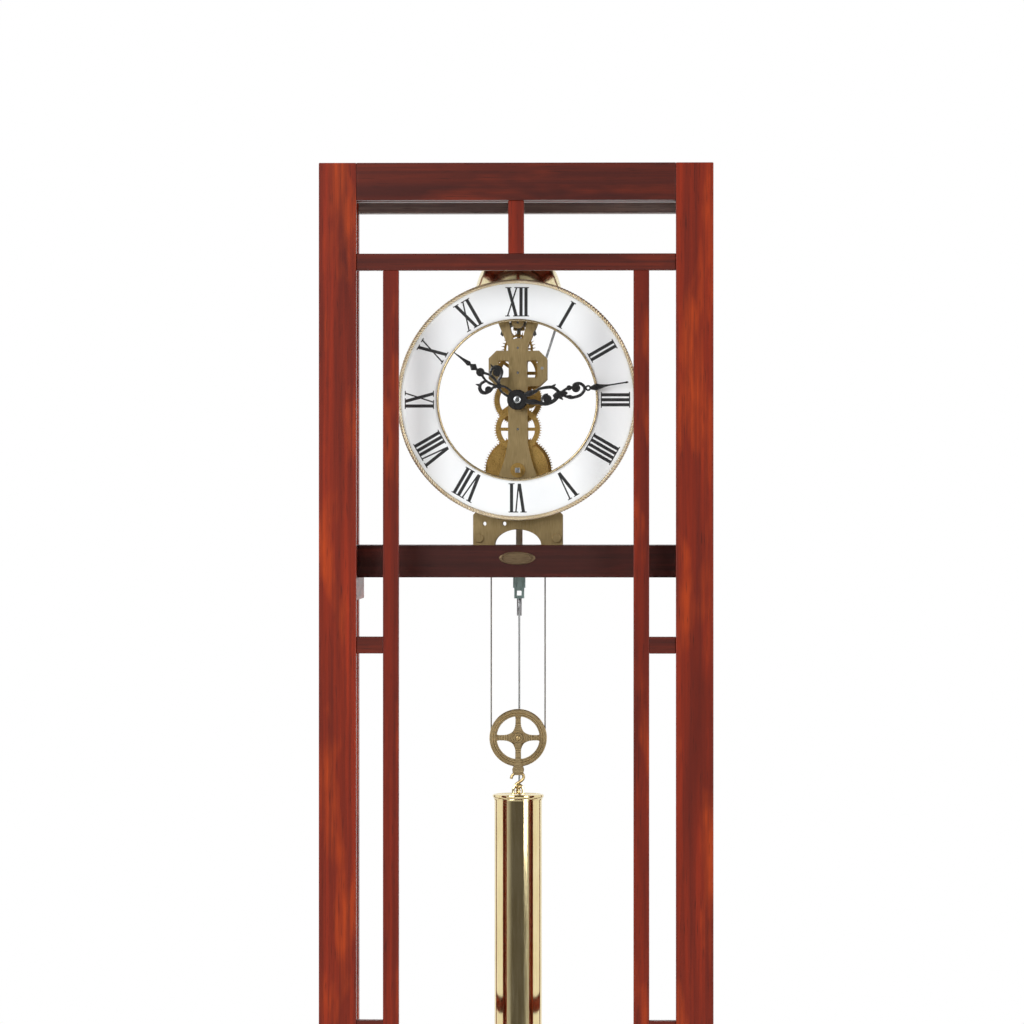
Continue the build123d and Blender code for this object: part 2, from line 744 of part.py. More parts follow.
pallet_arm = ((0, 4), (6, 3.4), (17, -5), (18.8, -11), (16.4, -13.2), (14.8, -11.2), (13, -6.5),
              (5, -2.5), (0, -4))
crutch_drop = 105
crutch_width = 4
fork_gap = 0.35
crutch_front = movement_back + 3.5
crutch_back = crutch_front + 1.6
prong_inner = leader_width / 2 + fork_gap
with BuildPart() as anchor:
    rod(0, anchor_z, pivot_radius, cock_front, plate_front + plate_thickness + 0.5)
    rod(0, anchor_z, 1.5, plate_front + plate_thickness + 0.5, cock_bar_front - 0.3)
    rod(0, anchor_z, pivot_radius, cock_bar_front - 0.3, cock_bar_back)
    with BuildSketch(face_plane(bay_front + 34, anchor_z)):
        for side in (-1, 1):
            Polygon(*[(side * x, z) for x, z in pallet_arm], align=None)
        Circle(4.5)
    extrude(amount=2.5)
    rod(0, anchor_z, 4.5, movement_back + 2.5, crutch_back + 1)
    slab(-crutch_width / 2, crutch_width / 2, crutch_front, crutch_back,
         anchor_z - crutch_drop, anchor_z)
    slab(-prong_inner - 2, prong_inner + 2, crutch_front, crutch_back,
         anchor_z - crutch_drop - 5, anchor_z - crutch_drop)
    for side in (-1, 1):
        prong_x = sorted((side * prong_inner, side * (prong_inner + 2)))
        slab(prong_x[0], prong_x[1], crutch_back, pendulum_y + leader_thickness / 2 + 2,
             anchor_z - crutch_drop - 5, anchor_z - crutch_drop)
finish(anchor, "anchor")

# ---------------------------------------------------------------- motion work

with BuildPart() as minute_wheel:
    with BuildSketch(face_plane(plate_front - 4, centre_height, minute_offset)):
        Polygon(*wheel_teeth(minute_teeth, motion_module, 180), align=None)
    extrude(amount=1.5)
    with BuildSketch(face_plane(plate_front - 5.5, centre_height, minute_offset)):
        Polygon(*pinion_teeth(minute_leaves, hour_module, 180), align=None)
    extrude(amount=6)
    rod(minute_offset, centre_height, stud_radius + running_fit, plate_front - 12, plate_front - 4,
        Mode.SUBTRACT)
finish(minute_wheel, "minute_wheel")

hour_pipe_radius = 3.6
hour_wheel_back = plate_front - 8
with BuildPart() as hour_wheel:
    with BuildSketch(face_plane(hour_wheel_back)):
        Polygon(*wheel_teeth(hour_teeth, hour_module, 0), align=None)
    extrude(amount=1.6)
    rod(0, centre_height, hour_pipe_radius, hour_pipe_front, hour_wheel_back)
    rod(0, centre_height, cannon_radius + running_fit, hour_pipe_front, hour_wheel_back, Mode.SUBTRACT)
finish(hour_wheel, "hour_wheel")

# ---------------------------------------------------------------- dial and hands

dial_back = dial_front + dial_thickness
with BuildPart() as dial_ring:
    rod(0, centre_height, dial_radius, dial_front, dial_back)
    rod(0, centre_height, dial_opening, dial_front, dial_back, Mode.SUBTRACT)
finish(dial_ring, "dial_ring")

with BuildPart() as dial_bezels:
    with Locations(Location((0, dial_front - rope_radius + 0.6, centre_height), (90, 0, 0))):
        Torus(dial_radius - rope_radius + 1.8, rope_radius)
        Torus(dial_opening + bead_radius - 0.4, bead_radius)
    slab(-dial_radius - 5, dial_radius + 5, dial_front, dial_front + 10,
         centre_height - dial_radius - 5, centre_height + dial_radius + 5, Mode.SUBTRACT)
finish(dial_bezels, "dial_bezels")

lower_foot = (29, -103)
dial_foot_radius = 3.5
with BuildPart() as dial_feet:
    for side in (-1, 1):
        rod(side * top_pillar[0], centre_height + top_pillar[1], dial_foot_radius, dial_back, cock_front)
        rod(side * lower_foot[0], centre_height + lower_foot[1], dial_foot_radius, dial_back, plate_front)
finish(dial_feet, "dial_feet")


def make_hand(y_front, angle, length, hub, bore, half_root, rings):
    """A pierced hand: a hub, a tapering blade and open scroll rings along it."""
    plane = face_plane(y_front + hand_thickness, centre_height, turn=angle)
    with BuildPart() as hand:
        with BuildSketch(plane):
            Circle(hub)
            Polygon((0, -half_root), (length, -0.5), (length, 0.5), (0, half_root), align=None)
            for distance, radius in rings:
                with Locations((distance, 0)):
                    Circle(radius)
            for distance, radius in rings:
                with Locations((distance, 0)):
                    Circle(radius - 1.6, mode=Mode.SUBTRACT)
            Circle(bore, mode=Mode.SUBTRACT)
        extrude(amount=hand_thickness)
    return hand


hour_angle = 90 - 30 * hours_shown
minute_angle = 90 - 6 * minutes_shown
hour_hand = make_hand(hour_hand_front, hour_angle, hour_length, 10, hour_pipe_radius, 2.6,
                      ((22, 6), (36, 5.5)))
finish(hour_hand, "hour_hand")
minute_hand = make_hand(minute_hand_front, minute_angle, minute_length, 8, 1.4, 2.2,
                        ((30, 5), (74, 4)))
finish(minute_hand, "minute_hand")

# ---------------------------------------------------------------- bell and hammer

bell_top = bell_rim + bell_rise
stand_low = centre_height + top_pillar[1] - 3.5
stand_high = centre_height + top_pillar[1] + 6.5
stand_post = 3
with BuildPart() as bell_stand:
    slab(-23, 23, bell_y - 5.5, bell_y + 5.5, stand_low, stand_high)
    post(0, bell_y, stand_post, stand_high, bell_top + 3)
    post(0, bell_y, 6, bell_top - bell_wall - 3, bell_top - bell_wall)
    post(0, bell_y, 5, bell_top, bell_top + 3)
    for side in (-1, 1):
        rod(side * top_pillar[0], centre_height + top_pillar[1], pillar_radius,
            bell_y - 5.5, bell_y + 5.5, Mode.SUBTRACT)
finish(bell_stand, "bell_stand")

with BuildPart() as bell:
    with BuildSketch(Plane((0, bell_y, 0), x_dir=(1, 0, 0), z_dir=(0, -1, 0))):
        with BuildLine():
            crown = (stand_post, bell_top)
            shoulder = (bell_radius - 14, bell_top - 3)
            rim = (bell_radius, bell_rim)
            inner_rim = (bell_radius - bell_wall, bell_rim)
            inner_shoulder = (shoulder[0] - 1.4, shoulder[1] - bell_wall)
            inner_crown = (stand_post, bell_top - bell_wall)
            Polyline(crown, (16, bell_top), shoulder)
            ThreePointArc(shoulder, (bell_radius - 5.4, bell_rim + 17), rim)
            Polyline(rim, inner_rim)
            ThreePointArc(inner_rim, (bell_radius - 7.8, bell_rim + 16), inner_shoulder)
            Polyline(inner_shoulder, (16, bell_top - bell_wall), inner_crown, crown)
        make_face()
    revolve(axis=Axis((0, bell_y, 0), (0, 0, 1)))
finish(bell, "bell")

hammer_x = hammer_pivot[0]
hammer_z = centre_height + hammer_pivot[1]
head_radius = 3.5
head_length = 7
stem_radius = 1.3
stem_points = [Vector(x, bell_y, centre_height + z) for x, z in (hammer_pivot, hammer_bend, hammer_head)]
with BuildPart() as hammer:
    rod(hammer_x, hammer_z, hammer_bore, plate_front, movement_back)
    rod(hammer_x, hammer_z, 4, bell_y - 3, bell_y + 3)
    for start, end in zip(stem_points, stem_points[1:]):
        with BuildSketch(Plane(start, z_dir=end - start)):
            Circle(stem_radius)
        extrude(amount=(end - start).length)
    with Locations(stem_points[1]):
        Sphere(stem_radius)
    with Locations(Plane(stem_points[2], z_dir=(1, 0, 0))):
        Cylinder(head_radius, head_length)
finish(hammer, "hammer")

# ---------------------------------------------------------------- pendulum

leader_top = anchor_z - 18
hook_top = hook_bottom + 22
hook_window = 4.8
with BuildPart() as pendulum_hanger:
    rod(0, anchor_z, pendulum_pin, pendulum_y - cheek_gap - cheek_thickness,
        pendulum_y + cheek_gap + cheek_thickness)
    rod(0, anchor_z, 3.6, pendulum_y - cheek_gap + 0.3, pendulum_y + cheek_gap - 0.3)
    slab(-spring_thickness / 2, spring_thickness / 2, pendulum_y - 3.5, pendulum_y + 3.5,
         leader_top - 4, anchor_z)
    slab(-leader_width / 2, leader_width / 2, pendulum_y - 3.5, pendulum_y + 3.5,
         leader_top - 8, leader_top)
    slab(-leader_width / 2, leader_width / 2, pendulum_y - leader_thickness / 2,
         pendulum_y + leader_thickness / 2, hook_top, leader_top)
    slab(-6.4, 6.4, pendulum_y - 3, pendulum_y + 3, hook_top - 11, hook_top)
    slab(-5.2, 5.2, pendulum_y - 3, pendulum_y + 3, hook_bottom, hook_top - 11)
    slab(-hook_window / 2, hook_window / 2, pendulum_y - 3, pendulum_y + 3,
         hook_bottom + 3, hook_bottom + 8, Mode.SUBTRACT)
finish(pendulum_hanger, "pendulum_hanger")

rod_bottom = bob_height - bob_radius - 25
with BuildPart() as pendulum_rod:
    post(0, pendulum_y, 2.6, sleeve_bottom, hook_bottom)
    post(0, pendulum_y, rod_radius, rod_bottom, sleeve_bottom)
finish(pendulum_rod, "pendulum_rod")

with BuildPart() as pendulum_bob:
    with BuildSketch(Plane((0, pendulum_y, bob_height), x_dir=(1, 0, 0), z_dir=(0, 0, 1))):
        with BuildLine():
            Polyline((0, bob_thickness / 2), (bob_radius * 0.3, bob_thickness * 0.47),
                     (bob_radius * 0.65, bob_thickness * 0.32), (bob_radius, bob_edge),
                     (bob_radius, -bob_edge), (bob_radius * 0.65, -bob_thickness * 0.32),
                     (bob_radius * 0.3, -bob_thickness * 0.47), (0, -bob_thickness / 2),
                     close=True)
        make_face()
    revolve(axis=Axis((0, pendulum_y, bob_height), (0, 1, 0)))
    post(0, pendulum_y, rod_radius + running_fit, bob_height - bob_radius - 1,
         bob_height + bob_radius + 1, Mode.SUBTRACT)
finish(pendulum_bob, "pendulum_bob")

with BuildPart() as rating_nut:
    post(0, pendulum_y, nut_radius, bob_height - bob_radius - 6, bob_height - bob_radius - 0.3)
    post(0, pendulum_y, nut_radius - 3, bob_height - bob_radius - 10, bob_height - bob_radius - 6)
    post(0, pendulum_y, rod_radius + running_fit, bob_height - bob_radius - 10,
         bob_height - bob_radius - 0.3, Mode.SUBTRACT)
finish(rating_nut, "rating_nut")

# ---------------------------------------------------------------- pulley, weight and cable

with BuildPart() as pulley:
    rim_y = cable_y + pulley_width / 2
    with BuildSketch(face_plane(rim_y, pulley_height)):
        Circle(pulley_radius)
        Circle(pulley_pin + running_fit, mode=Mode.SUBTRACT)
    extrude(amount=pulley_width)
    with BuildSketch(face_plane(rim_y, pulley_height)):
        Circle(pulley_radius - pulley_rim_depth)
        Circle(7, mode=Mode.SUBTRACT)
        with PolarLocations(14.5, 4):
            Rectangle(20, strap_width, mode=Mode.SUBTRACT)
    extrude(amount=pulley_width, mode=Mode.SUBTRACT)
    groove_centre = cable_reach + 1.4
    with Locations(Location((0, cable_y, pulley_height), (90, 0, 0))):
        Torus(groove_centre, 2.2, mode=Mode.SUBTRACT)
finish(pulley, "pulley")

hook_wire = 1.4
strap_gap = 0.6
strap_low = weight_top + 14
strap_inner = pulley_width / 2 + strap_gap
with BuildPart() as pulley_strap:
    for y in (cable_y - strap_inner - strap_thickness, cable_y + strap_inner):
        slab(-strap_width / 2, strap_width / 2, y, y + strap_thickness, strap_low, pulley_height)
        rod(0, pulley_height, 6.4, y, y + strap_thickness)
    slab(-5, 5, cable_y - strap_inner, cable_y + strap_inner, strap_low, strap_low + 8)
    rod(0, pulley_height, pulley_pin, cable_y - strap_inner - strap_thickness - 1,
        cable_y + strap_inner + strap_thickness + 1)
    post(0, cable_y, hook_wire, weight_top + 6, strap_low)
    post(0, cable_y, 4, weight_top, weight_top + 6)
finish(pulley_strap, "pulley_strap")

weight_bottom = weight_top - weight_length
with BuildPart() as weight_shell:
    post(0, cable_y, weight_radius, weight_bottom + weight_cap_height, weight_top - weight_cap_height)
finish(weight_shell, "weight_shell")

with BuildPart() as weight_caps:
    for z0 in (weight_bottom, weight_top - weight_cap_height):
        post(0, cable_y, weight_cap_radius, z0, z0 + weight_cap_height)
    chamfer(weight_caps.edges().filter_by(GeomType.CIRCLE), 1)
finish(weight_caps, "weight_caps")

# The cable leaves the drum on the right, runs straight down to the pulley, goes half way round it
# and back up to the anchor under the seat board.
with BuildPart() as weight_cable:
    with BuildLine():
        down_run = Line((cable_reach, cable_y, great_z), (cable_reach, cable_y, pulley_height))
        ThreePointArc((cable_reach, cable_y, pulley_height),
                      (0, cable_y, pulley_height - cable_reach), (-cable_reach, cable_y, pulley_height))
        Line((-cable_reach, cable_y, pulley_height), (-cable_reach, cable_y, cable_end))
    with BuildSketch(Plane(down_run @ 0, z_dir=down_run % 0)):
        Circle(cable_radius)
    sweep()
finish(weight_cable, "weight_cable")
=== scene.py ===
"""Looks for the open-frame longcase clock: lacquered cherry, brass, black hands, silvered dial."""
import json
from math import cos, hypot, pi, radians, sin

import bmesh
import bpy
from mathutils import Matrix, Vector


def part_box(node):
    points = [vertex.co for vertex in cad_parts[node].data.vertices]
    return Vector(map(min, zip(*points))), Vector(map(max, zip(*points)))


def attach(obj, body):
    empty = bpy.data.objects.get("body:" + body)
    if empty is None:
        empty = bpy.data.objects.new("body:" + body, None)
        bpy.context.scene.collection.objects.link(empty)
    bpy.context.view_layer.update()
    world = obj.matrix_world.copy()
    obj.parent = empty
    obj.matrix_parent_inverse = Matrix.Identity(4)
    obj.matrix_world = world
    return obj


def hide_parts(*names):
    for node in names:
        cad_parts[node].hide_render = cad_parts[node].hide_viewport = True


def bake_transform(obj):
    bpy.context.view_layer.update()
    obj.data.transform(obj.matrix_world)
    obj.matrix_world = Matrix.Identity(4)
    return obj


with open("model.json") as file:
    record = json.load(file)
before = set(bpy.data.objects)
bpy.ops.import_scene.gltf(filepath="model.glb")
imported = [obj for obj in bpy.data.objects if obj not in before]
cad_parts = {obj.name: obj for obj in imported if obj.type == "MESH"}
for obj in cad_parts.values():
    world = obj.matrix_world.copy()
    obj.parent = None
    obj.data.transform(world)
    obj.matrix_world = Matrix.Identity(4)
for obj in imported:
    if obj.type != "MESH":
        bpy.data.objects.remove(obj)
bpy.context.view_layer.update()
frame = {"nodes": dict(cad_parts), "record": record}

MM = 0.001
FULL_TURN = 2 * pi
FACING = Vector((0, -1, 0))


# ------------------------------------------------------------------ places read from the frame

def corners(node):
    """Lowest and highest corner of a CAD node, as vectors in metres."""
    low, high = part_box(node)
    return Vector(low), Vector(high)


def middle(node):
    """The middle of a CAD node's box."""
    low, high = corners(node)
    return (low + high) / 2


DIAL = middle("dial_ring")
DIAL_FRONT = corners("dial_ring")[0].y
DIAL_RADIUS = (corners("dial_ring")[1].x - corners("dial_ring")[0].x) / 2
RING_WIDTH = 41 * MM
DOOR_FRONT = corners("door_stile_left")[0].y
TOP = corners("door_stile_left")[1].z


# ------------------------------------------------------------------ camera, light and floor

VIEW_DISTANCE = 5.2
FRAMED_WIDTH = 1.037
SENSOR = 36
EYE_HEIGHT = TOP - 0.354
AIM_X = -0.004
EYE_X = 0.12


def make_camera():
    """A level camera a few metres in front of the door, on the dial's half of the case."""
    data = bpy.data.cameras.new("view")
    data.sensor_width = SENSOR
    data.lens = SENSOR * VIEW_DISTANCE / FRAMED_WIDTH
    camera = bpy.data.objects.new("view", data)
    bpy.context.scene.collection.objects.link(camera)
    camera.location = (EYE_X, DOOR_FRONT - VIEW_DISTANCE, EYE_HEIGHT)
    aim = Vector((AIM_X, DOOR_FRONT, EYE_HEIGHT)) - camera.location
    camera.rotation_euler = aim.to_track_quat("-Z", "Y").to_euler()
    bpy.context.scene.camera = camera


def linear(code):
    """A hex sRGB colour as linear red, green, blue and alpha."""
    values = [int(code[i:i + 2], 16) / 255 for i in (1, 3, 5)]
    return tuple(v / 12.92 if v <= 0.04045 else ((v + 0.055) / 1.055) ** 2.4 for v in values) + (1.0,)


def add_node(tree, kind, inputs=None, **settings):
    """Add a node. inputs maps a socket's name or number to a value or to another node's output."""
    made = tree.nodes.new(kind)
    for key, value in settings.items():
        setattr(made, key, value)
    for key, value in (inputs or {}).items():
        if isinstance(value, bpy.types.NodeSocket):
            tree.links.new(value, made.inputs[key])
        else:
            made.inputs[key].default_value = value
    return made


def make_world():
    """A white studio, with a dim side behind the camera for the metal to reflect."""
    world = bpy.data.worlds.new("studio")
    world.use_nodes = True
    tree = world.node_tree
    tree.nodes.clear()
    place = add_node(tree, "ShaderNodeTexCoord")
    parts = add_node(tree, "ShaderNodeSeparateXYZ", {0: place.outputs["Generated"]})
    ramp = add_node(tree, "ShaderNodeValToRGB", {0: add_node(
        tree, "ShaderNodeMapRange", {0: parts.outputs["Y"], 1: -1.0, 2: 1.0}).outputs[0]})
    ramp.color_ramp.elements[0].position = 0.06
    ramp.color_ramp.elements[0].color = linear("#5E5B58")
    ramp.color_ramp.elements[1].position = 0.34
    ramp.color_ramp.elements[1].color = linear("#FFFFFF")
    back = add_node(tree, "ShaderNodeBackground", {"Color": ramp.outputs[0], "Strength": 1.0})
    add_node(tree, "ShaderNodeOutputWorld", {0: back.outputs[0]})
    bpy.context.scene.world = world


def soft_box(name, place, target, size, power):
    """A rectangular soft light that faces the clock."""
    data = bpy.data.lights.new(name, "AREA")
    data.shape = "RECTANGLE"
    data.size, data.size_y = size
    data.energy = power
    lamp = bpy.data.objects.new(name, data)
    lamp.location = place
    lamp.rotation_euler = (Vector(target) - Vector(place)).to_track_quat("-Z", "Y").to_euler()
    bpy.context.scene.collection.objects.link(lamp)


LIT_POINT = (0, 0, 1.3)
FLOOR_SIZE = 12


def make_floor():
    """A plain pale floor."""
    bm = bmesh.new()
    bmesh.ops.create_grid(bm, x_segments=1, y_segments=1, size=FLOOR_SIZE / 2)
    data = bpy.data.meshes.new("floor")
    bm.to_mesh(data)
    bm.free()
    floor = bpy.data.objects.new("floor", data)
    material = bpy.data.materials.new("pale_paint")
    material.use_nodes = True
    shader = material.node_tree.nodes["Principled BSDF"]
    shader.inputs["Base Color"].default_value = linear("#ECEBE8")
    shader.inputs["Roughness"].default_value = 0.7
    data.materials.append(material)
    bpy.context.scene.collection.objects.link(floor)


# ------------------------------------------------------------------ materials

def start_material(name):
    """A material with its node tree, its shader and its Object coordinates."""
    material = bpy.data.materials.new(name)
    material.use_nodes = True
    tree = material.node_tree
    shader = tree.nodes["Principled BSDF"]
    place = add_node(tree, "ShaderNodeTexCoord").outputs["Object"]
    return material, tree, shader, place


def set_shader(shader, **values):
    """Constant values on the shader's own sockets; a name's underscores stand for spaces."""
    for key, value in values.items():
        shader.inputs[key.replace("_", " ")].default_value = value


def ramp_between(tree, factor, low, high, start=0.0, end=1.0):
    """A blend from one hex colour to another as factor goes from start to end."""
    ramp = add_node(tree, "ShaderNodeValToRGB", {0: factor})
    ramp.color_ramp.elements[0].position = start
    ramp.color_ramp.elements[0].color = linear(low)
    ramp.color_ramp.elements[1].position = end
    ramp.color_ramp.elements[1].color = linear(high)
    return ramp.outputs[0]


def stretched(tree, place, size_mm, along, stretch):
    """Coordinates for a pattern of that size, drawn out along one axis by the stretch given."""
    scale = [1 / (size_mm * MM)] * 3
    scale["XYZ".index(along)] /= stretch
    return add_node(tree, "ShaderNodeMapping", {"Vector": place, "Scale": scale}).outputs[0]


def cherry(name, along, light, dark, deep, glow):
    """Cherry, stained red-brown and lacquered: long flame figure, warm patches, fine pores, a soft gloss."""
    material, tree, shader, place = start_material(name)
    # Flame figure about 22 mm wide and 30 times as long, bent a little so that it is never straight.
    bend = add_node(tree, "ShaderNodeTexNoise", {
        "Vector": stretched(tree, place, 160, along, 3), "Scale": 1.0, "Detail": 2.0})
    moved = add_node(tree, "ShaderNodeVectorMath", {
        0: stretched(tree, place, 22, along, 30), 1: bend.outputs["Color"]}, operation="ADD")
    figure = add_node(tree, "ShaderNodeTexNoise", {
        "Vector": moved.outputs[0], "Scale": 1.0, "Detail": 4.0, "Roughness": 0.55, "Distortion": 0.4})
    # Growth lines 5 mm apart on the face.
    lines = add_node(tree, "ShaderNodeTexNoise", {
        "Vector": stretched(tree, place, 5, along, 60), "Scale": 1.0, "Detail": 5.0, "Roughness": 0.65})
    # Pores are 0.2 mm wide; drawn 1.2 mm wide so that they show.
    pores = add_node(tree, "ShaderNodeTexNoise", {
        "Vector": stretched(tree, place, 1.2, along, 22), "Scale": 1.0, "Detail": 2.0})
    base = ramp_between(tree, figure.outputs["Fac"], dark, light, 0.32, 0.68)
    # Patches about 40 mm wide and 160 mm long where the grain dips and the stain glows.
    patches = add_node(tree, "ShaderNodeTexNoise", {
        "Vector": stretched(tree, place, 40, along, 4), "Scale": 1.0, "Detail": 3.0, "Roughness": 0.6})
    warm = add_node(tree, "ShaderNodeMapRange", {0: patches.outputs["Fac"], 1: 0.52, 2: 0.72, 3: 0.0, 4: 0.8})
    colour = add_node(tree, "ShaderNodeMix", {
        0: warm.outputs[0], 6: base, 7: linear(glow)}, data_type="RGBA").outputs[2]
    line_mask = add_node(tree, "ShaderNodeMapRange", {0: lines.outputs["Fac"], 1: 0.42, 2: 0.72})
    lined = add_node(tree, "ShaderNodeMix", {
        0: line_mask.outputs[0], 6: colour, 7: linear(dark)}, data_type="RGBA")
    pore_mask = add_node(tree, "ShaderNodeMapRange", {
        0: pores.outputs["Fac"], 1: 0.60, 2: 0.74, 3: 0.0, 4: 0.55})
    final = add_node(tree, "ShaderNodeMix", {
        0: pore_mask.outputs[0], 6: lined.outputs[2], 7: linear(deep)}, data_type="RGBA")
    tree.links.new(final.outputs[2], shader.inputs["Base Color"])
    gloss = add_node(tree, "ShaderNodeMapRange", {0: lines.outputs["Fac"], 3: 0.36, 4: 0.5})
    tree.links.new(gloss.outputs[0], shader.inputs["Roughness"])
    bump = add_node(tree, "ShaderNodeBump", {
        "Height": pores.outputs["Fac"], "Strength": 0.06, "Distance": 0.0003})
    tree.links.new(bump.outputs[0], shader.inputs["Normal"])
    set_shader(shader, IOR=1.5, Coat_Weight=0.12, Coat_Roughness=0.18, Specular_IOR_Level=0.22)
    return material


def metal(name, light, dark, roughness, along, brush_mm, stretch, mottle_mm=30, bump=0.05, metallic_share=1.0):
    """A metal whose finish runs along one axis; a metallic share below 1 makes part of it a pale diffuse
    colour, a painted reflection of the white backdrop.
    """
    material, tree, shader, place = start_material(name)
    lines = add_node(tree, "ShaderNodeTexNoise", {
        "Vector": stretched(tree, place, brush_mm, along, stretch), "Scale": 1.0, "Detail": 3.0})
    mottle = add_node(tree, "ShaderNodeTexNoise", {
        "Vector": stretched(tree, place, mottle_mm, along, 1.6), "Scale": 1.0, "Detail": 4.0,
        "Roughness": 0.6})
    both = add_node(tree, "ShaderNodeMath", {
        0: lines.outputs["Fac"], 1: mottle.outputs["Fac"]}, operation="ADD")
    tone = ramp_between(tree, add_node(tree, "ShaderNodeMath", {
        0: both.outputs[0], 1: 0.5}, operation="MULTIPLY").outputs[0], dark, light, 0.36, 0.62)
    tree.links.new(tone, shader.inputs["Base Color"])
    rough = add_node(tree, "ShaderNodeMapRange", {
        0: lines.outputs["Fac"], 1: 0.3, 2: 0.7, 3: roughness[0], 4: roughness[1]})
    tree.links.new(rough.outputs[0], shader.inputs["Roughness"])
    if bump:
        relief = add_node(tree, "ShaderNodeBump", {
            "Height": lines.outputs["Fac"], "Strength": bump, "Distance": 0.0002})
        tree.links.new(relief.outputs[0], shader.inputs["Normal"])
    set_shader(shader, Metallic=metallic_share)
    return material


def turned_metal(name, light, dark, roughness, centre, ring_mm):
    """A metal disc faced in the lathe: fine rings round its middle, seen from the front."""
    material, tree, shader, place = start_material(name)
    offset = add_node(tree, "ShaderNodeMapping", {"Vector": place, "Location": [-v for v in centre]})
    parts = add_node(tree, "ShaderNodeSeparateXYZ", {0: offset.outputs[0]})
    flat = add_node(tree, "ShaderNodeCombineXYZ", {"X": parts.outputs["X"], "Y": parts.outputs["Z"]})
    radius = add_node(tree, "ShaderNodeVectorMath", {0: flat.outputs[0]}, operation="LENGTH")
    rings = add_node(tree, "ShaderNodeTexNoise", {
        "W": add_node(tree, "ShaderNodeMath", {
            0: radius.outputs["Value"], 1: 1 / (ring_mm * MM)}, operation="MULTIPLY").outputs[0],
        "Scale": 1.0, "Detail": 3.0}, noise_dimensions="1D")
    mottle = add_node(tree, "ShaderNodeTexNoise", {
        "Vector": place, "Scale": 40.0, "Detail": 3.0})
    both = add_node(tree, "ShaderNodeMath", {
        0: rings.outputs["Fac"], 1: mottle.outputs["Fac"]}, operation="ADD")
    tone = ramp_between(tree, add_node(tree, "ShaderNodeMath", {
        0: both.outputs[0], 1: 0.5}, operation="MULTIPLY").outputs[0], dark, light, 0.36, 0.62)
    tree.links.new(tone, shader.inputs["Base Color"])
    rough = add_node(tree, "ShaderNodeMapRange", {
        0: rings.outputs["Fac"], 1: 0.3, 2: 0.7, 3: roughness[0], 4: roughness[1]})
    tree.links.new(rough.outputs[0], shader.inputs["Roughness"])
    relief = add_node(tree, "ShaderNodeBump", {
        "Height": rings.outputs["Fac"], "Strength": 0.05, "Distance": 0.0002})
    tree.links.new(relief.outputs[0], shader.inputs["Normal"])
    set_shader(shader, Metallic=1.0)
    return material


def float_glass():
    """Clear float glass: a mirror where it is seen on edge, and nearly nothing face on."""
    material, tree, shader, place = start_material("clear_float_glass")
    # The same on both sides of a pane: the reflection grows with the fourth power of how oblique the look is.
    edge = add_node(tree, "ShaderNodeLayerWeight", {"Blend": 0.5})
    grows = add_node(tree, "ShaderNodeMath", {0: edge.outputs["Facing"], 1: 4.0}, operation="POWER")
    faint = add_node(tree, "ShaderNodeMapRange", {0: grows.outputs[0], 3: 0.0, 4: 0.9})
    tree.links.new(faint.outputs[0], shader.inputs["Alpha"])
    # Float glass waves by a few thousandths of a millimetre over 60 mm; drawn stronger.
    wave = add_node(tree, "ShaderNodeTexNoise", {"Vector": place, "Scale": 16.0})
    bump = add_node(tree, "ShaderNodeBump", {
        "Height": wave.outputs["Fac"], "Strength": 0.02, "Distance": 0.001})
    tree.links.new(bump.outputs[0], shader.inputs["Normal"])
    set_shader(shader, Base_Color=linear("#F2F7F5"), Metallic=1.0, Roughness=0.02)
    return material


def silvered_dial():
    """Silvered and lacquered brass sheet: near white, with a very fine grain."""
    material, tree, shader, place = start_material("silvered_dial_sheet")
    grain = add_node(tree, "ShaderNodeTexNoise", {
        "Vector": stretched(tree, place, 0.6, "X", 1), "Scale": 1.0, "Detail": 2.0})
    cloud = add_node(tree, "ShaderNodeTexNoise", {"Vector": place, "Scale": 14.0, "Detail": 2.0})
    tone = ramp_between(tree, cloud.outputs["Fac"], "#E6E9EC", "#EEF1F3", 0.35, 0.65)
    tree.links.new(tone, shader.inputs["Base Color"])
    rough = add_node(tree, "ShaderNodeMapRange", {0: grain.outputs["Fac"], 3: 0.4, 4: 0.52})
    tree.links.new(rough.outputs[0], shader.inputs["Roughness"])
    bump = add_node(tree, "ShaderNodeBump", {
        "Height": grain.outputs["Fac"], "Strength": 0.04, "Distance": 0.0001})
    tree.links.new(bump.outputs[0], shader.inputs["Normal"])
    set_shader(shader, Specular_IOR_Level=0.3)
    return material


def black_lacquer(name, colour, shine):
    """Stove-black lacquer on steel: deep, with a soft orange-peel surface."""
    material, tree, shader, place = start_material(name)
    peel = add_node(tree, "ShaderNodeTexNoise", {
        "Vector": stretched(tree, place, 0.8, "X", 1), "Scale": 1.0, "Detail": 2.0})
    tone = ramp_between(tree, peel.outputs["Fac"], colour, "#2C2C2E", 0.55, 0.95)
    tree.links.new(tone, shader.inputs["Base Color"])
    rough = add_node(tree, "ShaderNodeMapRange", {0: peel.outputs["Fac"], 3: shine, 4: shine + 0.15})
    tree.links.new(rough.outputs[0], shader.inputs["Roughness"])
    bump = add_node(tree, "ShaderNodeBump", {
        "Height": peel.outputs["Fac"], "Strength": 0.08, "Distance": 0.0001})
    tree.links.new(bump.outputs[0], shader.inputs["Normal"])
    set_shader(shader, IOR=1.5, Coat_Weight=0.3, Coat_Roughness=0.2)
    return material


# ------------------------------------------------------------------ making pieces

def put(name, bm, body, material, *replaced, sharp=35):
    """Turn a finished bmesh into a piece that rides on a body and may stand for CAD nodes."""
    data = bpy.data.meshes.new(name)
    bm.to_mesh(data)
    bm.free()
    if sharp:
        data.shade_smooth()
        data.set_sharp_from_angle(angle=radians(sharp))
    data.materials.append(material)
    piece = bpy.data.objects.new(name, data)
    bpy.context.scene.collection.objects.link(piece)
    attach(piece, body)
    if replaced:
        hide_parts(*replaced)
    return piece


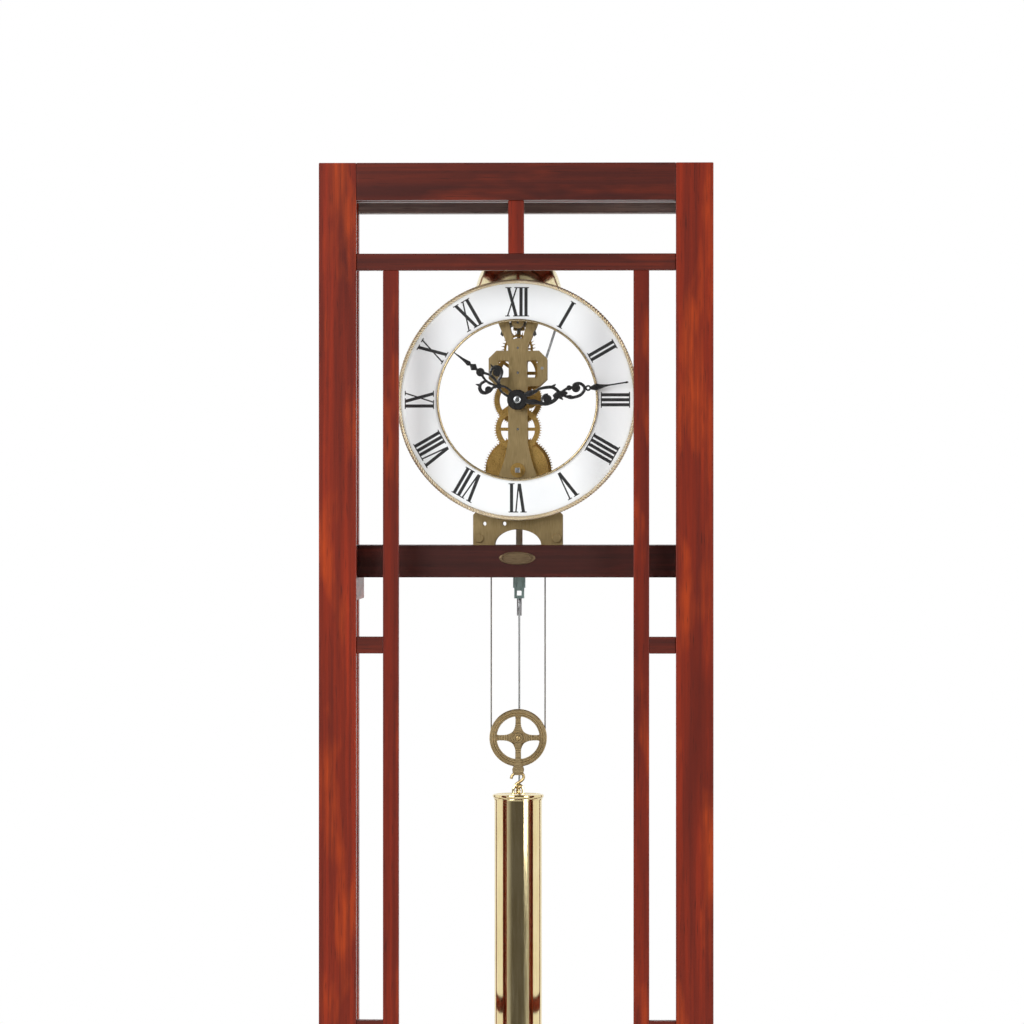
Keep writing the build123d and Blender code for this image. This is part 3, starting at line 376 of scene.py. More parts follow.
def body_of_node(node):
    """The name of the body that a CAD node belongs to."""
    bodies = frame["record"]["behaviour"]["bodies"]
    return next(name for name, nodes in bodies.items() if node in nodes)


def eased(node, width, material, segments=2, least=30):
    """The CAD piece with its arrises eased by a small round, as a maker's sandpaper or file leaves it."""
    bm = bmesh.new()
    bm.from_mesh(frame["nodes"][node].data)
    bmesh.ops.remove_doubles(bm, verts=bm.verts, dist=1e-6)
    bmesh.ops.dissolve_limit(bm, angle_limit=radians(1), verts=bm.verts, edges=bm.edges)
    arrises = [e for e in bm.edges if e.is_manifold and e.calc_face_angle() > radians(least)]
    curved = bm.faces.layers.int.new("curved")
    for face in bm.faces:
        face[curved] = any(e.is_manifold and 0.001 < e.calc_face_angle() < radians(least) for e in face.edges)
    rounds = set(bmesh.ops.bevel(bm, geom=arrises, offset=width, offset_type="OFFSET", affect="EDGES",
                                 segments=segments, profile=0.5, material=-1, clamp_overlap=True)["faces"])
    for face in bm.faces:
        face.smooth = face in rounds or bool(face[curved])
    return put(node + "_eased", bm, body_of_node(node), material, node, sharp=None)


def second_finish(piece, material, chosen):
    """Give the faces of a piece whose middle passes the test another finish."""
    piece.data.materials.append(material)
    slot = len(piece.data.materials) - 1
    for face in piece.data.polygons:
        if chosen(face.center):
            face.material_index = slot


def recoat(node, material):
    """Give a CAD node that keeps its own shape a finish."""
    data = frame["nodes"][node].data
    data.materials.clear()
    data.materials.append(material)


def turn(bm, profile, centre, axis, steps=96):
    """Turn a profile of (radius, height) pairs about an axis through centre, as in a lathe."""
    axis = Vector(axis).normalized()
    side = Vector((1, 0, 0)) if abs(axis.x) < 0.9 else Vector((0, 0, 1))
    side = (side - axis * side.dot(axis)).normalized()
    before = set(bm.verts)
    points = [bm.verts.new(centre + side * radius + axis * height) for radius, height in profile]
    lines = [bm.edges.new(pair) for pair in zip(points, points[1:])]
    bmesh.ops.spin(bm, geom=points + lines, cent=centre, axis=axis, angle=FULL_TURN, steps=steps,
                   use_merge=True)
    made = [v for v in bm.verts if v not in before]
    bmesh.ops.remove_doubles(bm, verts=made, dist=1e-6)
    faces = {f for v in made if v.is_valid for f in v.link_faces}
    bmesh.ops.recalc_face_normals(bm, faces=list(faces))


def sweep(bm, stations, sides=8, closed=False):
    """Carry a cross-section along stations, each a matrix that places and sizes a unit circle."""
    made = bmesh.ops.create_circle(bm, cap_ends=False, segments=sides, radius=1, matrix=stations[0])
    first = made["verts"]
    loop = list({e for v in first for e in v.link_edges})
    last_place = stations[0]
    every = list(first)
    for place in stations[1:]:
        grown = bmesh.ops.extrude_edge_only(bm, edges=loop)["geom"]
        verts = [g for g in grown if isinstance(g, bmesh.types.BMVert)]
        loop = [g for g in grown if isinstance(g, bmesh.types.BMEdge)]
        bmesh.ops.transform(bm, matrix=place @ last_place.inverted(), verts=verts)
        last_place = place
        every += verts
    if closed:
        bmesh.ops.remove_doubles(bm, verts=every, dist=2e-6)
    else:
        bmesh.ops.contextual_create(bm, geom=list({e for v in first for e in v.link_edges
                                                   if all(w in first for w in e.verts)}))
        bmesh.ops.contextual_create(bm, geom=loop)
    faces = {f for v in every if v.is_valid for f in v.link_faces}
    bmesh.ops.recalc_face_normals(bm, faces=list(faces))


def along_route(points, size, normal, closed=False, square=False):
    """Stations for a sweep: at each point a size (across, through), in a frame with that normal."""
    stations = []
    last = len(points) - 1
    for i, point in enumerate(points):
        after, before = (points[(i + 1) % last], points[(i - 1) % last]) if closed else (
            points[min(i + 1, last)], points[max(i - 1, 0)])
        ahead = (after - before).normalized()
        through = (normal - ahead * normal.dot(ahead)).normalized()
        across = through.cross(ahead)
        wide, thick = size[i] if isinstance(size, list) else size
        shape = Matrix.Diagonal((wide, thick, 1, 1))
        if square:
            shape = shape @ Matrix.Scale(2 ** 0.5, 4) @ Matrix.Rotation(pi / 4, 4, "Z")
        axes = Matrix((across, through, ahead)).transposed().to_4x4()
        stations.append(Matrix.Translation(point) @ axes @ shape)
    return stations


def smooth_points(points, per_span=6):
    """Points on a Catmull-Rom curve through the tuples given."""
    ends = [points[0]] + list(points) + [points[-1]]
    result = []
    for i in range(1, len(ends) - 2):
        a, b, c, d = (Vector(p) for p in ends[i - 1:i + 3])
        for k in range(per_span):
            t = k / per_span
            result.append(0.5 * (2 * b + (c - a) * t + (2 * a - 5 * b + 4 * c - d) * t * t
                                 + (3 * b - a - 3 * c + d) * t ** 3))
    result.append(Vector(points[-1]))
    return result


# ------------------------------------------------------------------ finishes

# Timber: upright pieces redder, level ones darker; the seat board is painted nearly black for the shade
# inside the case, and the back rail painted grey for the shade and the reflected white it shows behind the
# glass.
CHERRY = {axis: cherry("lacquered_cherry_grain_" + axis.lower(), axis,
                       "#8C280C", "#541407", "#2A0B06", "#B2420E") for axis in "XYZ"}
CHERRY_SHADE = {axis: cherry("stained_cherry_rail_grain_" + axis.lower(), axis,
                             "#632213", "#3B110B", "#1C0906", "#7C2A12") for axis in "XYZ"}
# The seat board's near-black red-brown is painted shade: the shade it sits in inside the case, behind the
# glass.
CHERRY_SEAT = cherry("seat_board_painted_shade", "X", "#4C1D16", "#2C100C", "#160706", "#5E2014")
# The back rail's grey is painted shade and a painted reflection of the white backdrop, as seen behind two
# panes of glass.
CHERRY_BACK = cherry("back_rail_painted_shade_and_reflection", "X", "#8C7C76", "#625350", "#3D312D", "#917B70")
# Plates: sheet brushed upright, a soft streak with no mirror.
PLATE_BRASS = metal("brushed_brass_plate", "#B7A075", "#97835A", (0.3, 0.42), "Z", 0.5, 24)
# Wheels: warmer and yellower, finished before the teeth are cut.
WHEEL_BRASS = metal("gilded_wheel_brass", "#D6B068", "#A68248", (0.25, 0.4), "Y", 0.7, 3)
# Pulley and bob: rings left by the lathe.
PULLEY_BRASS = turned_metal("lathe_faced_brass", "#CDB589", "#A18A62", (0.26, 0.4), middle("pulley"), 0.9)
BOB_BRASS = turned_metal("lathe_turned_brass", "#DFC584", "#B99B5C", (0.12, 0.22),
                         middle("pendulum_bob"), 1.0)
# Weight and bell: polished and lacquered, so they mirror the room in upright bands.
POLISHED_BRASS = metal("polished_lacquered_brass", "#F0E0B2", "#DCC994", (0.06, 0.1), "Z", 1.2, 30, 60, 0.02)
BELL_BRASS = metal("polished_bell_brass", "#EEE2BC", "#CFBE8C", (0.1, 0.16), "Y", 1.0, 8, 40, 0.02)
# Bezels: pale rope, darker bead.
BEZEL_BRASS = metal("rolled_bezel_brass", "#F4E9D2", "#D6C5A3", (0.28, 0.4), "Y", 0.9, 2)
BEAD_BRASS = metal("drawn_bead_brass", "#CDBB97", "#A08E6A", (0.2, 0.32), "Y", 0.9, 2)
# Oval plate: darkened, dull brass.
BADGE_BRASS = metal("antiqued_brass_badge", "#75634C", "#4A3D30", (0.4, 0.55), "X", 0.6, 14)
# Steels: ground bright, drawn pale, pale and half diffuse for the leader as a painted reflection of the white
# backdrop, blued, hardened, and stranded.
STEEL = metal("ground_steel", "#B9BCBE", "#85898C", (0.25, 0.4), "Z", 0.7, 20)
PALE_STEEL = metal("bright_drawn_steel", "#C2DAD8", "#9AB6B3", (0.25, 0.4), "Z", 0.7, 20)
LEADER_STEEL = metal("pale_steel_painted_backdrop_reflection", "#D4CEC3", "#B4AC9F", (0.5, 0.6), "Z", 0.7, 8, metallic_share=0.2)
BLUE_STEEL = metal("blued_grey_steel", "#7BA0A1", "#4F7375", (0.3, 0.45), "Z", 0.7, 20)
PINION_STEEL = metal("hardened_pinion_steel", "#A5A8AC", "#6E7276", (0.2, 0.35), "Y", 0.6, 8)
CABLE_STEEL = metal("stranded_steel_cable", "#A8A49A", "#6F6C66", (0.3, 0.5), "Z", 0.6, 6)
# Blacks: shiny on the hands, flatter for print and nylon.
HAND_BLACK = black_lacquer("black_lacquered_hands", "#141415", 0.22)
NUMERAL_BLACK = black_lacquer("black_printing_enamel", "#19191B", 0.34)
GLIDE_BLACK = black_lacquer("black_nylon_glide", "#202022", 0.5)
SILVERED = silvered_dial()
GLASS = float_glass()


# ------------------------------------------------------------------ case and door

ARRIS = 0.8 * MM


def make_timber():
    """Every stick and board of the case and the door, each with its grain along its length."""
    for node in ("door_stile_left", "door_stile_right", "door_muntins", "front_posts"):
        eased(node, ARRIS, CHERRY["Z"])
    for node in ("door_rails", "case_front_rails"):
        eased(node, ARRIS, CHERRY_SHADE["X"])
    eased("door_bars", ARRIS * 0.8, CHERRY_SHADE["X"])
    eased("door_glass_beads", ARRIS * 0.5, CHERRY_SHADE["Z"])
    eased("back_posts", ARRIS, CHERRY["Z"])
    eased("case_back_rails", ARRIS, CHERRY_BACK)
    eased("side_rails", ARRIS, CHERRY["Y"])
    eased("case_boards", ARRIS, CHERRY["X"])
    eased("seat_board", ARRIS, CHERRY_SEAT)


def make_glass():
    """The panes keep the CAD's shape and take a clear finish."""
    for node in ("door_glass", "side_glass", "back_glass"):
        recoat(node, GLASS)


def make_ironwork():
    """Hinges, catch and glides."""
    for node in ("hinge_door_leaves", "hinge_case_leaves", "hinge_pins"):
        eased(node, 0.2 * MM, POLISHED_BRASS)
    eased("catch_keeper", 0.2 * MM, STEEL)
    eased("magnetic_catch", 0.5 * MM, GLIDE_BLACK)
    eased("glides", 1.0 * MM, GLIDE_BLACK, segments=3)


def make_badge():
    """A blank oval plate with a raised rim and two pins, on the front of the seat board."""
    low, high = corners("badge_plate")
    centre, half = (low + high) / 2, (high - low) / 2
    profile = [(0, 0.35), (0.80, 0.35), (0.84, 0.95), (0.93, 1.0), (1.0, 0.6), (1.0, 0)]
    bm = bmesh.new()
    turn(bm, profile, Vector(), (0, -1, 0), 64)
    shape = Matrix.LocRotScale(Vector((centre.x, high.y, centre.z)), None,
                               Vector((half.x, high.y - low.y, half.z)))
    bmesh.ops.transform(bm, matrix=shape, verts=bm.verts)
    for side in (-1, 1):
        pin = [(0.9 * MM, 0), (0.9 * MM, 0.3 * MM), (0.6 * MM, 0.55 * MM), (0, 0.65 * MM)]
        spot = Vector((centre.x + side * half.x * 0.7, high.y - 0.35 * (high.y - low.y), centre.z))
        turn(bm, pin, spot, (0, -1, 0), 16)
    put("badge_oval", bm, "case", BADGE_BRASS, "badge_plate")


# ------------------------------------------------------------------ dial and numerals

def make_dial():
    """The silvered ring."""
    low, high = corners("dial_ring")
    inner = DIAL_RADIUS - RING_WIDTH
    thick = high.y - low.y
    edge = 0.25 * MM
    profile = [(inner, 0), (inner, thick - edge), (inner + edge, thick), (DIAL_RADIUS - edge, thick),
               (DIAL_RADIUS, thick - edge), (DIAL_RADIUS, 0), (inner, 0)]
    bm = bmesh.new()
    turn(bm, profile, Vector((0, high.y, DIAL.z)), (0, -1, 0), 192)
    put("dial_chapter_ring", bm, "case", SILVERED, "dial_ring")


def ring_route(centre, radius, count):
    """Points round a circle that faces the front; the last point is the first one again."""
    return [centre + Vector((radius * cos(FULL_TURN * i / count), 0, radius * sin(FULL_TURN * i / count)))
            for i in range(count + 1)]


def rope(bm, points, normal, radius, strands, turns, sides=6, closed=False):
    """Strands laid round each other along a route, as on a cable or a rope moulding."""
    if strands == ROPE_STRANDS:
        strand, lay = 0.464 * radius, 0.536 * radius
    else:
        strand, lay = 0.36 * radius, 0.64 * radius
    frames = along_route(points, (1, 1), normal, closed=closed)
    count = len(points) - 1
    for k in range(strands):
        shifted = []
        for i, place in enumerate(frames):
            turn_by = FULL_TURN * (turns * i / count + k / strands)
            offset = Vector((lay * cos(turn_by), lay * sin(turn_by), 0))
            shifted.append(place @ offset)
        sweep(bm, along_route(shifted, (strand, strand), normal, closed=closed), sides, closed)


ROPE_RADIUS = 2.4 * MM
ROPE_STRANDS = 3
ROPE_TURNS = 80
ROPE_POINTS = 640
BEAD_RADIUS = 1.2 * MM
BEAD_POINTS = 12


def make_bezels():
    """A rope moulding round the dial and a plain bead round its opening."""
    bezel_y = DIAL_FRONT - ROPE_RADIUS + 0.6 * MM
    bm = bmesh.new()
    route = ring_route(Vector((0, bezel_y, DIAL.z)), DIAL_RADIUS - ROPE_RADIUS + 1.8 * MM, ROPE_POINTS)
    rope(bm, route, FACING, ROPE_RADIUS, ROPE_STRANDS, ROPE_TURNS, closed=True)
    put("dial_rope_moulding", bm, "case", BEZEL_BRASS, "dial_bezels")
    bead_ring = DIAL_RADIUS - RING_WIDTH + BEAD_RADIUS - 0.4 * MM
    profile = [(bead_ring + BEAD_RADIUS * cos(a), BEAD_RADIUS * sin(a))
               for a in (FULL_TURN * i / BEAD_POINTS for i in range(BEAD_POINTS + 1))]
    bm = bmesh.new()
    turn(bm, profile, Vector((0, bezel_y, DIAL.z)), (0, -1, 0), 192)
    put("dial_opening_bead", bm, "case", BEAD_BRASS)


NUMERALS = ("I", "II", "III", "IIII", "V", "VI", "VII", "VIII", "IX", "X", "XI", "XII")
NUMERAL_FOOT = 86 * MM
NUMERAL_TOP = 115 * MM
GLYPH_WIDTH = {"I": 5.1 * MM, "V": 12.0 * MM, "X": 12.6 * MM}
THICK = 3.3 * MM
THIN = 1.5 * MM
SERIF = 1.0 * MM
PAINT = 0.05 * MM


def stroke(bm, place, start, end, width, lift):
    """One sheared bar of a letter from its foot to its head, as wide as given across the letter."""
    across, up = (end[0] - start[0]) / 2, (end[1] - start[1]) / 2
    shear = Matrix(((width / 2, across, 0, (start[0] + end[0]) / 2),
                    (0, up, 0, (start[1] + end[1]) / 2),
                    (0, 0, 1, lift), (0, 0, 0, 1)))
    bmesh.ops.create_grid(bm, x_segments=1, y_segments=1, size=1, matrix=place @ shear)


def glyph(bm, place, letter, middle_x):
    """One Roman letter with hairline serifs."""
    low, high = NUMERAL_FOOT, NUMERAL_TOP
    half = GLYPH_WIDTH[letter] / 2
    left, right = middle_x - half + THICK / 2 + 0.6 * MM, middle_x + half - THIN / 2 - 1.2 * MM
    if letter == "I":
        stroke(bm, place, (middle_x, low), (middle_x, high), THICK, PAINT * 2)
        feet = heads = ((middle_x, half + 0.5 * MM),)
    elif letter == "V":
        point = middle_x + 0.6 * MM
        stroke(bm, place, (point, low), (left, high), THICK, PAINT * 2)
        stroke(bm, place, (point + THIN / 2, low), (right, high), THIN, PAINT)
        feet, heads = (), ((left, 3.1 * MM), (right, 2.3 * MM))
    else:
        stroke(bm, place, (right - 0.5 * MM, low), (left, high), THICK, PAINT * 2)
        stroke(bm, place, (left - 0.9 * MM, low), (right, high), THIN, PAINT)
        feet = ((left - 0.9 * MM, 2.3 * MM), (right - 0.5 * MM, 3.1 * MM))
        heads = ((left, 3.1 * MM), (right, 2.3 * MM))
    for at, spots in ((low, feet), (high, heads)):
        for x, reach in spots:
            stroke(bm, place, (x, at - SERIF / 2), (x, at + SERIF / 2), 2 * reach, PAINT * 3)


def make_numerals():
    """Twelve Roman numerals with their feet towards the centre."""
    bm = bmesh.new()
    for hour, word in enumerate(NUMERALS, 1):
        angle = radians(30 * hour)
        upright = Matrix.Rotation(radians(90), 4, "X")
        place = Matrix.Translation((0, DIAL_FRONT, DIAL.z)) @ Matrix.Rotation(angle, 4, "Y") @ upright
        along = -sum(GLYPH_WIDTH[letter] for letter in word) / 2
        for letter in word:
            glyph(bm, place, letter, along + GLYPH_WIDTH[letter] / 2)
            along += GLYPH_WIDTH[letter]
    bmesh.ops.recalc_face_normals(bm, faces=bm.faces)
    for face in bm.faces:
        if face.normal.y > 0:
            face.normal_flip()
    put("dial_numerals", bm, "case", NUMERAL_BLACK)


# ------------------------------------------------------------------ hands

HOUR_ANGLE = radians(90 - 30 * (10 + 13.5 / 60) + 360)
MINUTE_ANGLE = radians(90 - 6 * 13.5)


class Hand:
    """A pierced hand drawn on the dial's plane: u runs along it, v is square to it, both in mm."""

    def __init__(self, angle, front, back):
        self.bm = bmesh.new()
        self.thick = back - front
        turned = Matrix.Rotation(-angle, 4, "Y") @ Matrix.Rotation(radians(90), 4, "X")
        self.place = Matrix.Translation((0, (front + back) / 2, DIAL.z)) @ turned

    def ribbon(self, points):
        """A stroke through (u, v, half width) points, smoothed between them."""
        line = smooth_points([(u * MM, v * MM, w * MM) for u, v, w in points])
        route = [Vector((p.x, p.y, 0)) for p in line]
        sizes = [(p.z, self.thick / 2) for p in line]
        stations = along_route(route, sizes, Vector((0, 0, 1)))
        sweep(self.bm, [self.place @ s for s in stations], 10)

    def ring(self, u, v, radius, half):
        """An open ring: middle radius and half width."""
        self.disc(u, v, radius + half, radius - half)

    def disc(self, u, v, radius, hole=0.0):
        """A flat round with an eased edge, pierced if it has a hole."""
        soft = min(0.2, radius / 4) * MM
        outer, inner, up = radius * MM, hole * MM, self.thick / 2
        profile = [(inner, up), (outer - soft, up), (outer, up - soft), (outer, soft - up),
                   (outer - soft, -up), (inner, -up)]
        if hole:
            profile.append(profile[0])
        axis = self.place.to_3x3() @ Vector((0, 0, 1))
        turn(self.bm, profile, self.place @ Vector((u * MM, v * MM, 0)), axis, 40)

    def finish(self, name, body, node):
        """Hand the shape over as the piece that stands for the CAD hand."""
        put(name, self.bm, body, HAND_BLACK, node)


def make_hour_hand():
    """The short hand: two scrolls either side of a pierced stem, and a spade point."""
    low, high = corners("hour_hand")
    hand = Hand(HOUR_ANGLE, low.y, high.y)
    hand.disc(0, 0, 10.5, 3.7)
    for side in (-1, 1):
        hand.ribbon([(8, side * 2.6, 1.5), (14, side * 3.3, 1.2), (19, side * 2.7, 1.2), (23.3, 0, 1.7)])
        hand.ribbon([(24, side * 1.5, 1.5), (28, side * 2.2, 1.2), (33, side * 3.4, 1.5),
                     (38, side * 3.4, 1.2), (44, side * 1.5, 1.5), (47, 0, 1.5)])
        hand.ribbon([(25, side * 2.6, 1.4), (27.4, side * 5.0, 1.5), (27.6, side * 8.6, 1.5),
                     (29.6, side * 13.2, 1.8), (33.6, side * 15.3, 2.1), (37.8, side * 13.6, 2.0),
                     (39.6, side * 9.6, 1.7), (38.2, side * 5.4, 1.5), (36.6, side * 3.4, 1.2)])
        hand.ribbon([(38.6, side * 11.0, 1.5), (41.2, side * 11.8, 1.2), (43.6, side * 12.8, 0.4)])
    hand.disc(23.3, 0, 2.9)
    hand.disc(29.8, 9.4, 3.6)
    hand.disc(33.5, -9.8, 4.1)
    hand.disc(47.2, 0, 4.4)
    hand.ribbon([(49, 0, 1.8), (52, 0, 1.5), (54, 0, 2.7), (55.9, 0, 4.1), (58, 0, 2.6), (60, 0, 1.4),
                 (62, 0, 2.7), (65, 0, 2.1), (70, 0, 1.4), (76, 0, 0.9), (80.9, 0, 0.5)])
    hand.finish("hour_hand_pierced", "hour", "hour_hand")


def make_minute_hand():
    """The long hand: two open scroll groups, a small ring, a spade and a fine point."""
    low, high = corners("minute_hand")
    hand = Hand(MINUTE_ANGLE, low.y, high.y)
    hand.disc(0, 0, 9.6, 1.5)
    hand.ribbon([(8, 3.4, 2.0), (12, 4.0, 2.9), (16, 4.8, 2.7), (20, 5.6, 1.8), (24, 7.2, 1.5),
                 (31, 7.7, 1.7), (38, 6.6, 1.8), (43, 1.6, 1.7), (44, -2, 1.7)])
    hand.ribbon([(8, -3.0, 2.0), (12, -4.2, 2.6), (17, -5.0, 2.7), (21, -6.4, 2.0), (25, -8.2, 2.0),
                 (30, -8.8, 2.1), (37, -6.9, 2.1), (42, -3, 2.1)])
    hand.ribbon([(24.6, -6.8, 1.2), (25.2, -3.0, 1.2), (28.2, 0.2, 1.2), (32.0, 0.0, 1.5)])
    hand.disc(30.6, -4.2, 4.4)
    hand.ribbon([(37, -3.4, 2.2), (41, -2.2, 3.7), (45, -1.5, 3.9), (49, -1.2, 2.7), (52, -1.6, 0.9)])
    hand.ribbon([(37.5, 7.2, 2.0), (41.4, 9.4, 0.6)])
    hand.ribbon([(43.5, -4.2, 2.0), (46.4, -7.4, 0.6)])
    hand.ribbon([(46, 0.6, 1.4), (51, 2.8, 1.5), (56, 3.6, 1.7), (61, 2.2, 1.7)])
    hand.disc(54.3, 3.6, 2.7)
    hand.ribbon([(46, -2, 1.5), (50, -4.6, 1.5), (54, -5.9, 2.3), (57, -6.7, 1.7), (64, -5.7, 1.7),
                 (69, -1.7, 1.7), (69.7, 2.5, 1.7), (66.2, 6.2, 1.7), (61.5, 6.8, 1.5), (58.5, 5.0, 1.5)])
    hand.disc(61.3, 2.3, 4.4)
    hand.ring(73.6, 0.4, 2.2, 0.9)
    hand.ribbon([(75.4, 0.2, 1.5), (78, 0, 2.4), (82, 0, 3.7), (86, 0, 2.6), (91, 0, 1.5), (96, 0, 0.9),
                 (104, 0, 0.8), (111, 0, 0.8), (113.4, 0, 1.1), (115.2, 0, 0.6)])
    hand.finish("minute_hand_pierced", "centre", "minute_hand")


def make_hand_nut():
    """The bright round nut that holds the minute hand on its arbor."""
    front = corners("centre_arbor")[0].y
    back = corners("minute_hand")[0].y
    deep = back - front
    profile = [(1.3 * MM, 0), (4.1 * MM, 0), (4.1 * MM, deep * 0.4), (3.5 * MM, deep * 0.8),
               (2.3 * MM, deep * 0.95), (1.9 * MM, deep * 0.6), (1.3 * MM, deep * 0.6), (1.3 * MM, 0)]
    bm = bmesh.new()
    turn(bm, profile, Vector((0, back, DIAL.z)), (0, -1, 0), 40)
    put("hand_nut", bm, "centre", STEEL)


# ------------------------------------------------------------------ movement

def make_movement():
    """Plates, pillars, cocks, wheels and arbors in their own metals."""
    for node in ("front_plate", "back_plate"):
        eased(node, 0.35 * MM, PLATE_BRASS)
    for node in ("anchor_cock", "suspension_cock"):
        eased(node, 0.3 * MM, PLATE_BRASS)
    for node in ("plate_pillars", "dial_feet", "bell_stand", "cable_anchor"):
        eased(node, 0.3 * MM, STEEL if node == "bell_stand" else PLATE_BRASS)
    for node in ("centre_wheel", "second_wheel", "great_wheel", "third_wheel", "escape_wheel",
                 "minute_wheel", "hour_wheel"):
        recoat(node, WHEEL_BRASS)
    drum = eased("winding_drum", 0.15 * MM, WHEEL_BRASS)
    square_start = corners("front_plate")[0].y - 2.3 * MM
    second_finish(drum, STEEL, lambda spot: spot.y < square_start)
    for node in ("centre_arbor", "second_arbor", "third_arbor", "escape_arbor"):
        recoat(node, PINION_STEEL)
    recoat("anchor", PINION_STEEL)
    eased("hammer", 0.3 * MM, STEEL)


def make_bell():
    """A turned bell with a thin lip."""
    low, high = corners("bell")
    rim = (high.x - low.x) / 2
    outer = [(3.1, 30), (10, 30), (18, 29.6), (26, 28.4), (31.5, 26), (36, 22), (39.2, 17),
             (41.6, 11), (43.4, 5), (44.5, 0.6), (44.4, 0)]
    inner = [(42.6, 0.1), (41.2, 5), (39.2, 11.4), (36.6, 16.6), (33.4, 20.6), (29.4, 23.8),
             (24, 26.2), (16, 27.6), (3.1, 27.8), (3.1, 30)]
    share = rim / 44.5
    bm = bmesh.new()
    spot = Vector((0, (low.y + high.y) / 2, low.z))
    turn(bm, [(r * share, z * share) for r, z in outer + inner], spot, (0, 0, 1), 128)
    put("bell_turned", bm, "case", BELL_BRASS, "bell")


# ------------------------------------------------------------------ pendulum

LEADER_END = 1.342
SLEEVE_START = corners("pendulum_hanger")[0].z + 18.5 * MM


def make_pendulum():
    """Hanger, rod, turned bob and knurled rating nut."""
    hanger = eased("pendulum_hanger", 0.3 * MM, BLUE_STEEL)
    # Above LEADER_END the leader takes the pale, mostly diffuse steel: its colour is a painted reflection of
    # the white backdrop.
    second_finish(hanger, LEADER_STEEL, lambda spot: spot.z > LEADER_END)
    second_finish(hanger, PALE_STEEL, lambda spot: spot.z < SLEEVE_START)
    eased("pendulum_rod", 0.2 * MM, STEEL)
    low, high = corners("pendulum_bob")
    reach, thick = (high.x - low.x) / 2, (high.y - low.y) / 2
    half = [(1.0, 0.10), (0.985, 0.17), (0.95, 0.22), (0.85, 0.36), (0.65, 0.62), (0.45, 0.80),
            (0.25, 0.93), (0.1, 0.99), (0, 1.0)]
    profile = [(0, -1.0)] + [(r, -y) for r, y in reversed(half[:-1])] + half
    bm = bmesh.new()
    turn(bm, [(r * reach, y * thick) for r, y in profile], (low + high) / 2, (0, -1, 0), 128)
    put("pendulum_bob_turned", bm, "bob", BOB_BRASS, "pendulum_bob")
    make_rating_nut()


KNURLS = 48


def make_rating_nut():
    """A knurled disc over a plain boss."""
    low, high = corners("rating_nut")
    radius = (high.x - low.x) / 2
    spot = Vector(((low.x + high.x) / 2, (low.y + high.y) / 2, high.z))
    profile = [(1.1, 0), (7.6, 0), (8.6, -0.5), (9, -1.1), (9, -4.6), (8.6, -5.2), (7.6, -5.7),
               (6, -5.9), (6, -9.4), (5.6, -9.7), (1.1, -9.7), (1.1, 0)]
    bm = bmesh.new()
    turn(bm, [(r * MM, z * MM) for r, z in profile], spot, (0, 0, 1), KNURLS * 2)
    rim = [v for v in bm.verts if hypot(v.co.x - spot.x, v.co.y - spot.y) > radius * 0.94]
    for vertex in rim:
        out = vertex.co - spot
        turn_share = Vector((out.x, out.y)).angle_signed(Vector((1, 0)), 0) / FULL_TURN
        if round(turn_share * KNURLS * 2) % 2:
            vertex.co.x -= out.x * 0.035
            vertex.co.y -= out.y * 0.035
    put("rating_nut_knurled", bm, "nut", BOB_BRASS, "rating_nut", sharp=20)


# ------------------------------------------------------------------ pulley, weight and cable

PULLEY = middle("pulley")
CABLE_RADIUS = 0.75 * MM
CABLE_STRANDS = 6
STRAND_SIDES = 5
STRAND_LAY = 9 * MM
REACH = corners("weight_cable")[1].x - CABLE_RADIUS
CABLE_Y = middle("weight_cable").y
DRUM_Z = middle("winding_drum").z
CABLE_END = corners("cable_anchor")[0].z + 3.5 * MM
WEIGHT_TOP = corners("weight_caps")[1].z


def flat_bar(bm, points, thick):
    """A flat bar through (x, y, z, half width) points in mm from the pulley's middle, facing the front."""
    route = [PULLEY + Vector(p[:3]) * MM for p in points]
    sizes = [(p[3] * MM, thick / 2 * MM) for p in points]
    sweep(bm, along_route(route, sizes, FACING, square=True), 4)


def make_pulley():
    """A grooved rim on four waisted spokes."""
    radius, half = 29.6, 4
    rim = [(22.2, half - 0.3), (22.6, half), (25.0, half), (25.3, half - 0.35), (25.7, half - 0.35),
           (26.0, half), (28.9, half), (29.6, half - 0.7), (29.6, 2.2), (27.1, 0.7), (27.0, 0)]
    profile = rim + [(r, -y) for r, y in reversed(rim[:-1])] + [rim[0]]
    bm = bmesh.new()
    turn(bm, [(r * MM, y * MM) for r, y in profile], PULLEY, FACING, 128)
    hub = [(3.1, 3.2), (6.4, 3.2), (7.0, 2.7), (7.0, -2.7), (6.4, -3.2), (3.1, -3.2), (3.1, 3.2)]
    turn(bm, [(r * MM, y * MM) for r, y in hub], PULLEY, FACING, 48)
    waist = [(5, 6.6), (7, 5.2), (9, 4.1), (11.5, 3.2), (14.5, 2.8), (19, 2.7), (21, 2.9), (22.7, 3.8)]
    for quarter in range(4):
        c, s = cos(quarter * pi / 2), sin(quarter * pi / 2)
        flat_bar(bm, [(r * c, 0, r * s, w) for r, w in waist], 4.4)
    put("pulley_wheel", bm, "pulley_body", PULLEY_BRASS, "pulley")


def wire(bm, points, radius, sides=10):
    """A round wire through (x, y, z) points in mm counted from the top of the weight."""
    base = Vector((PULLEY.x, PULLEY.y, WEIGHT_TOP))
    line = [base + p * MM for p in smooth_points(points, 5)]
    sweep(bm, along_route(line, (radius * MM, radius * MM), FACING), sides)


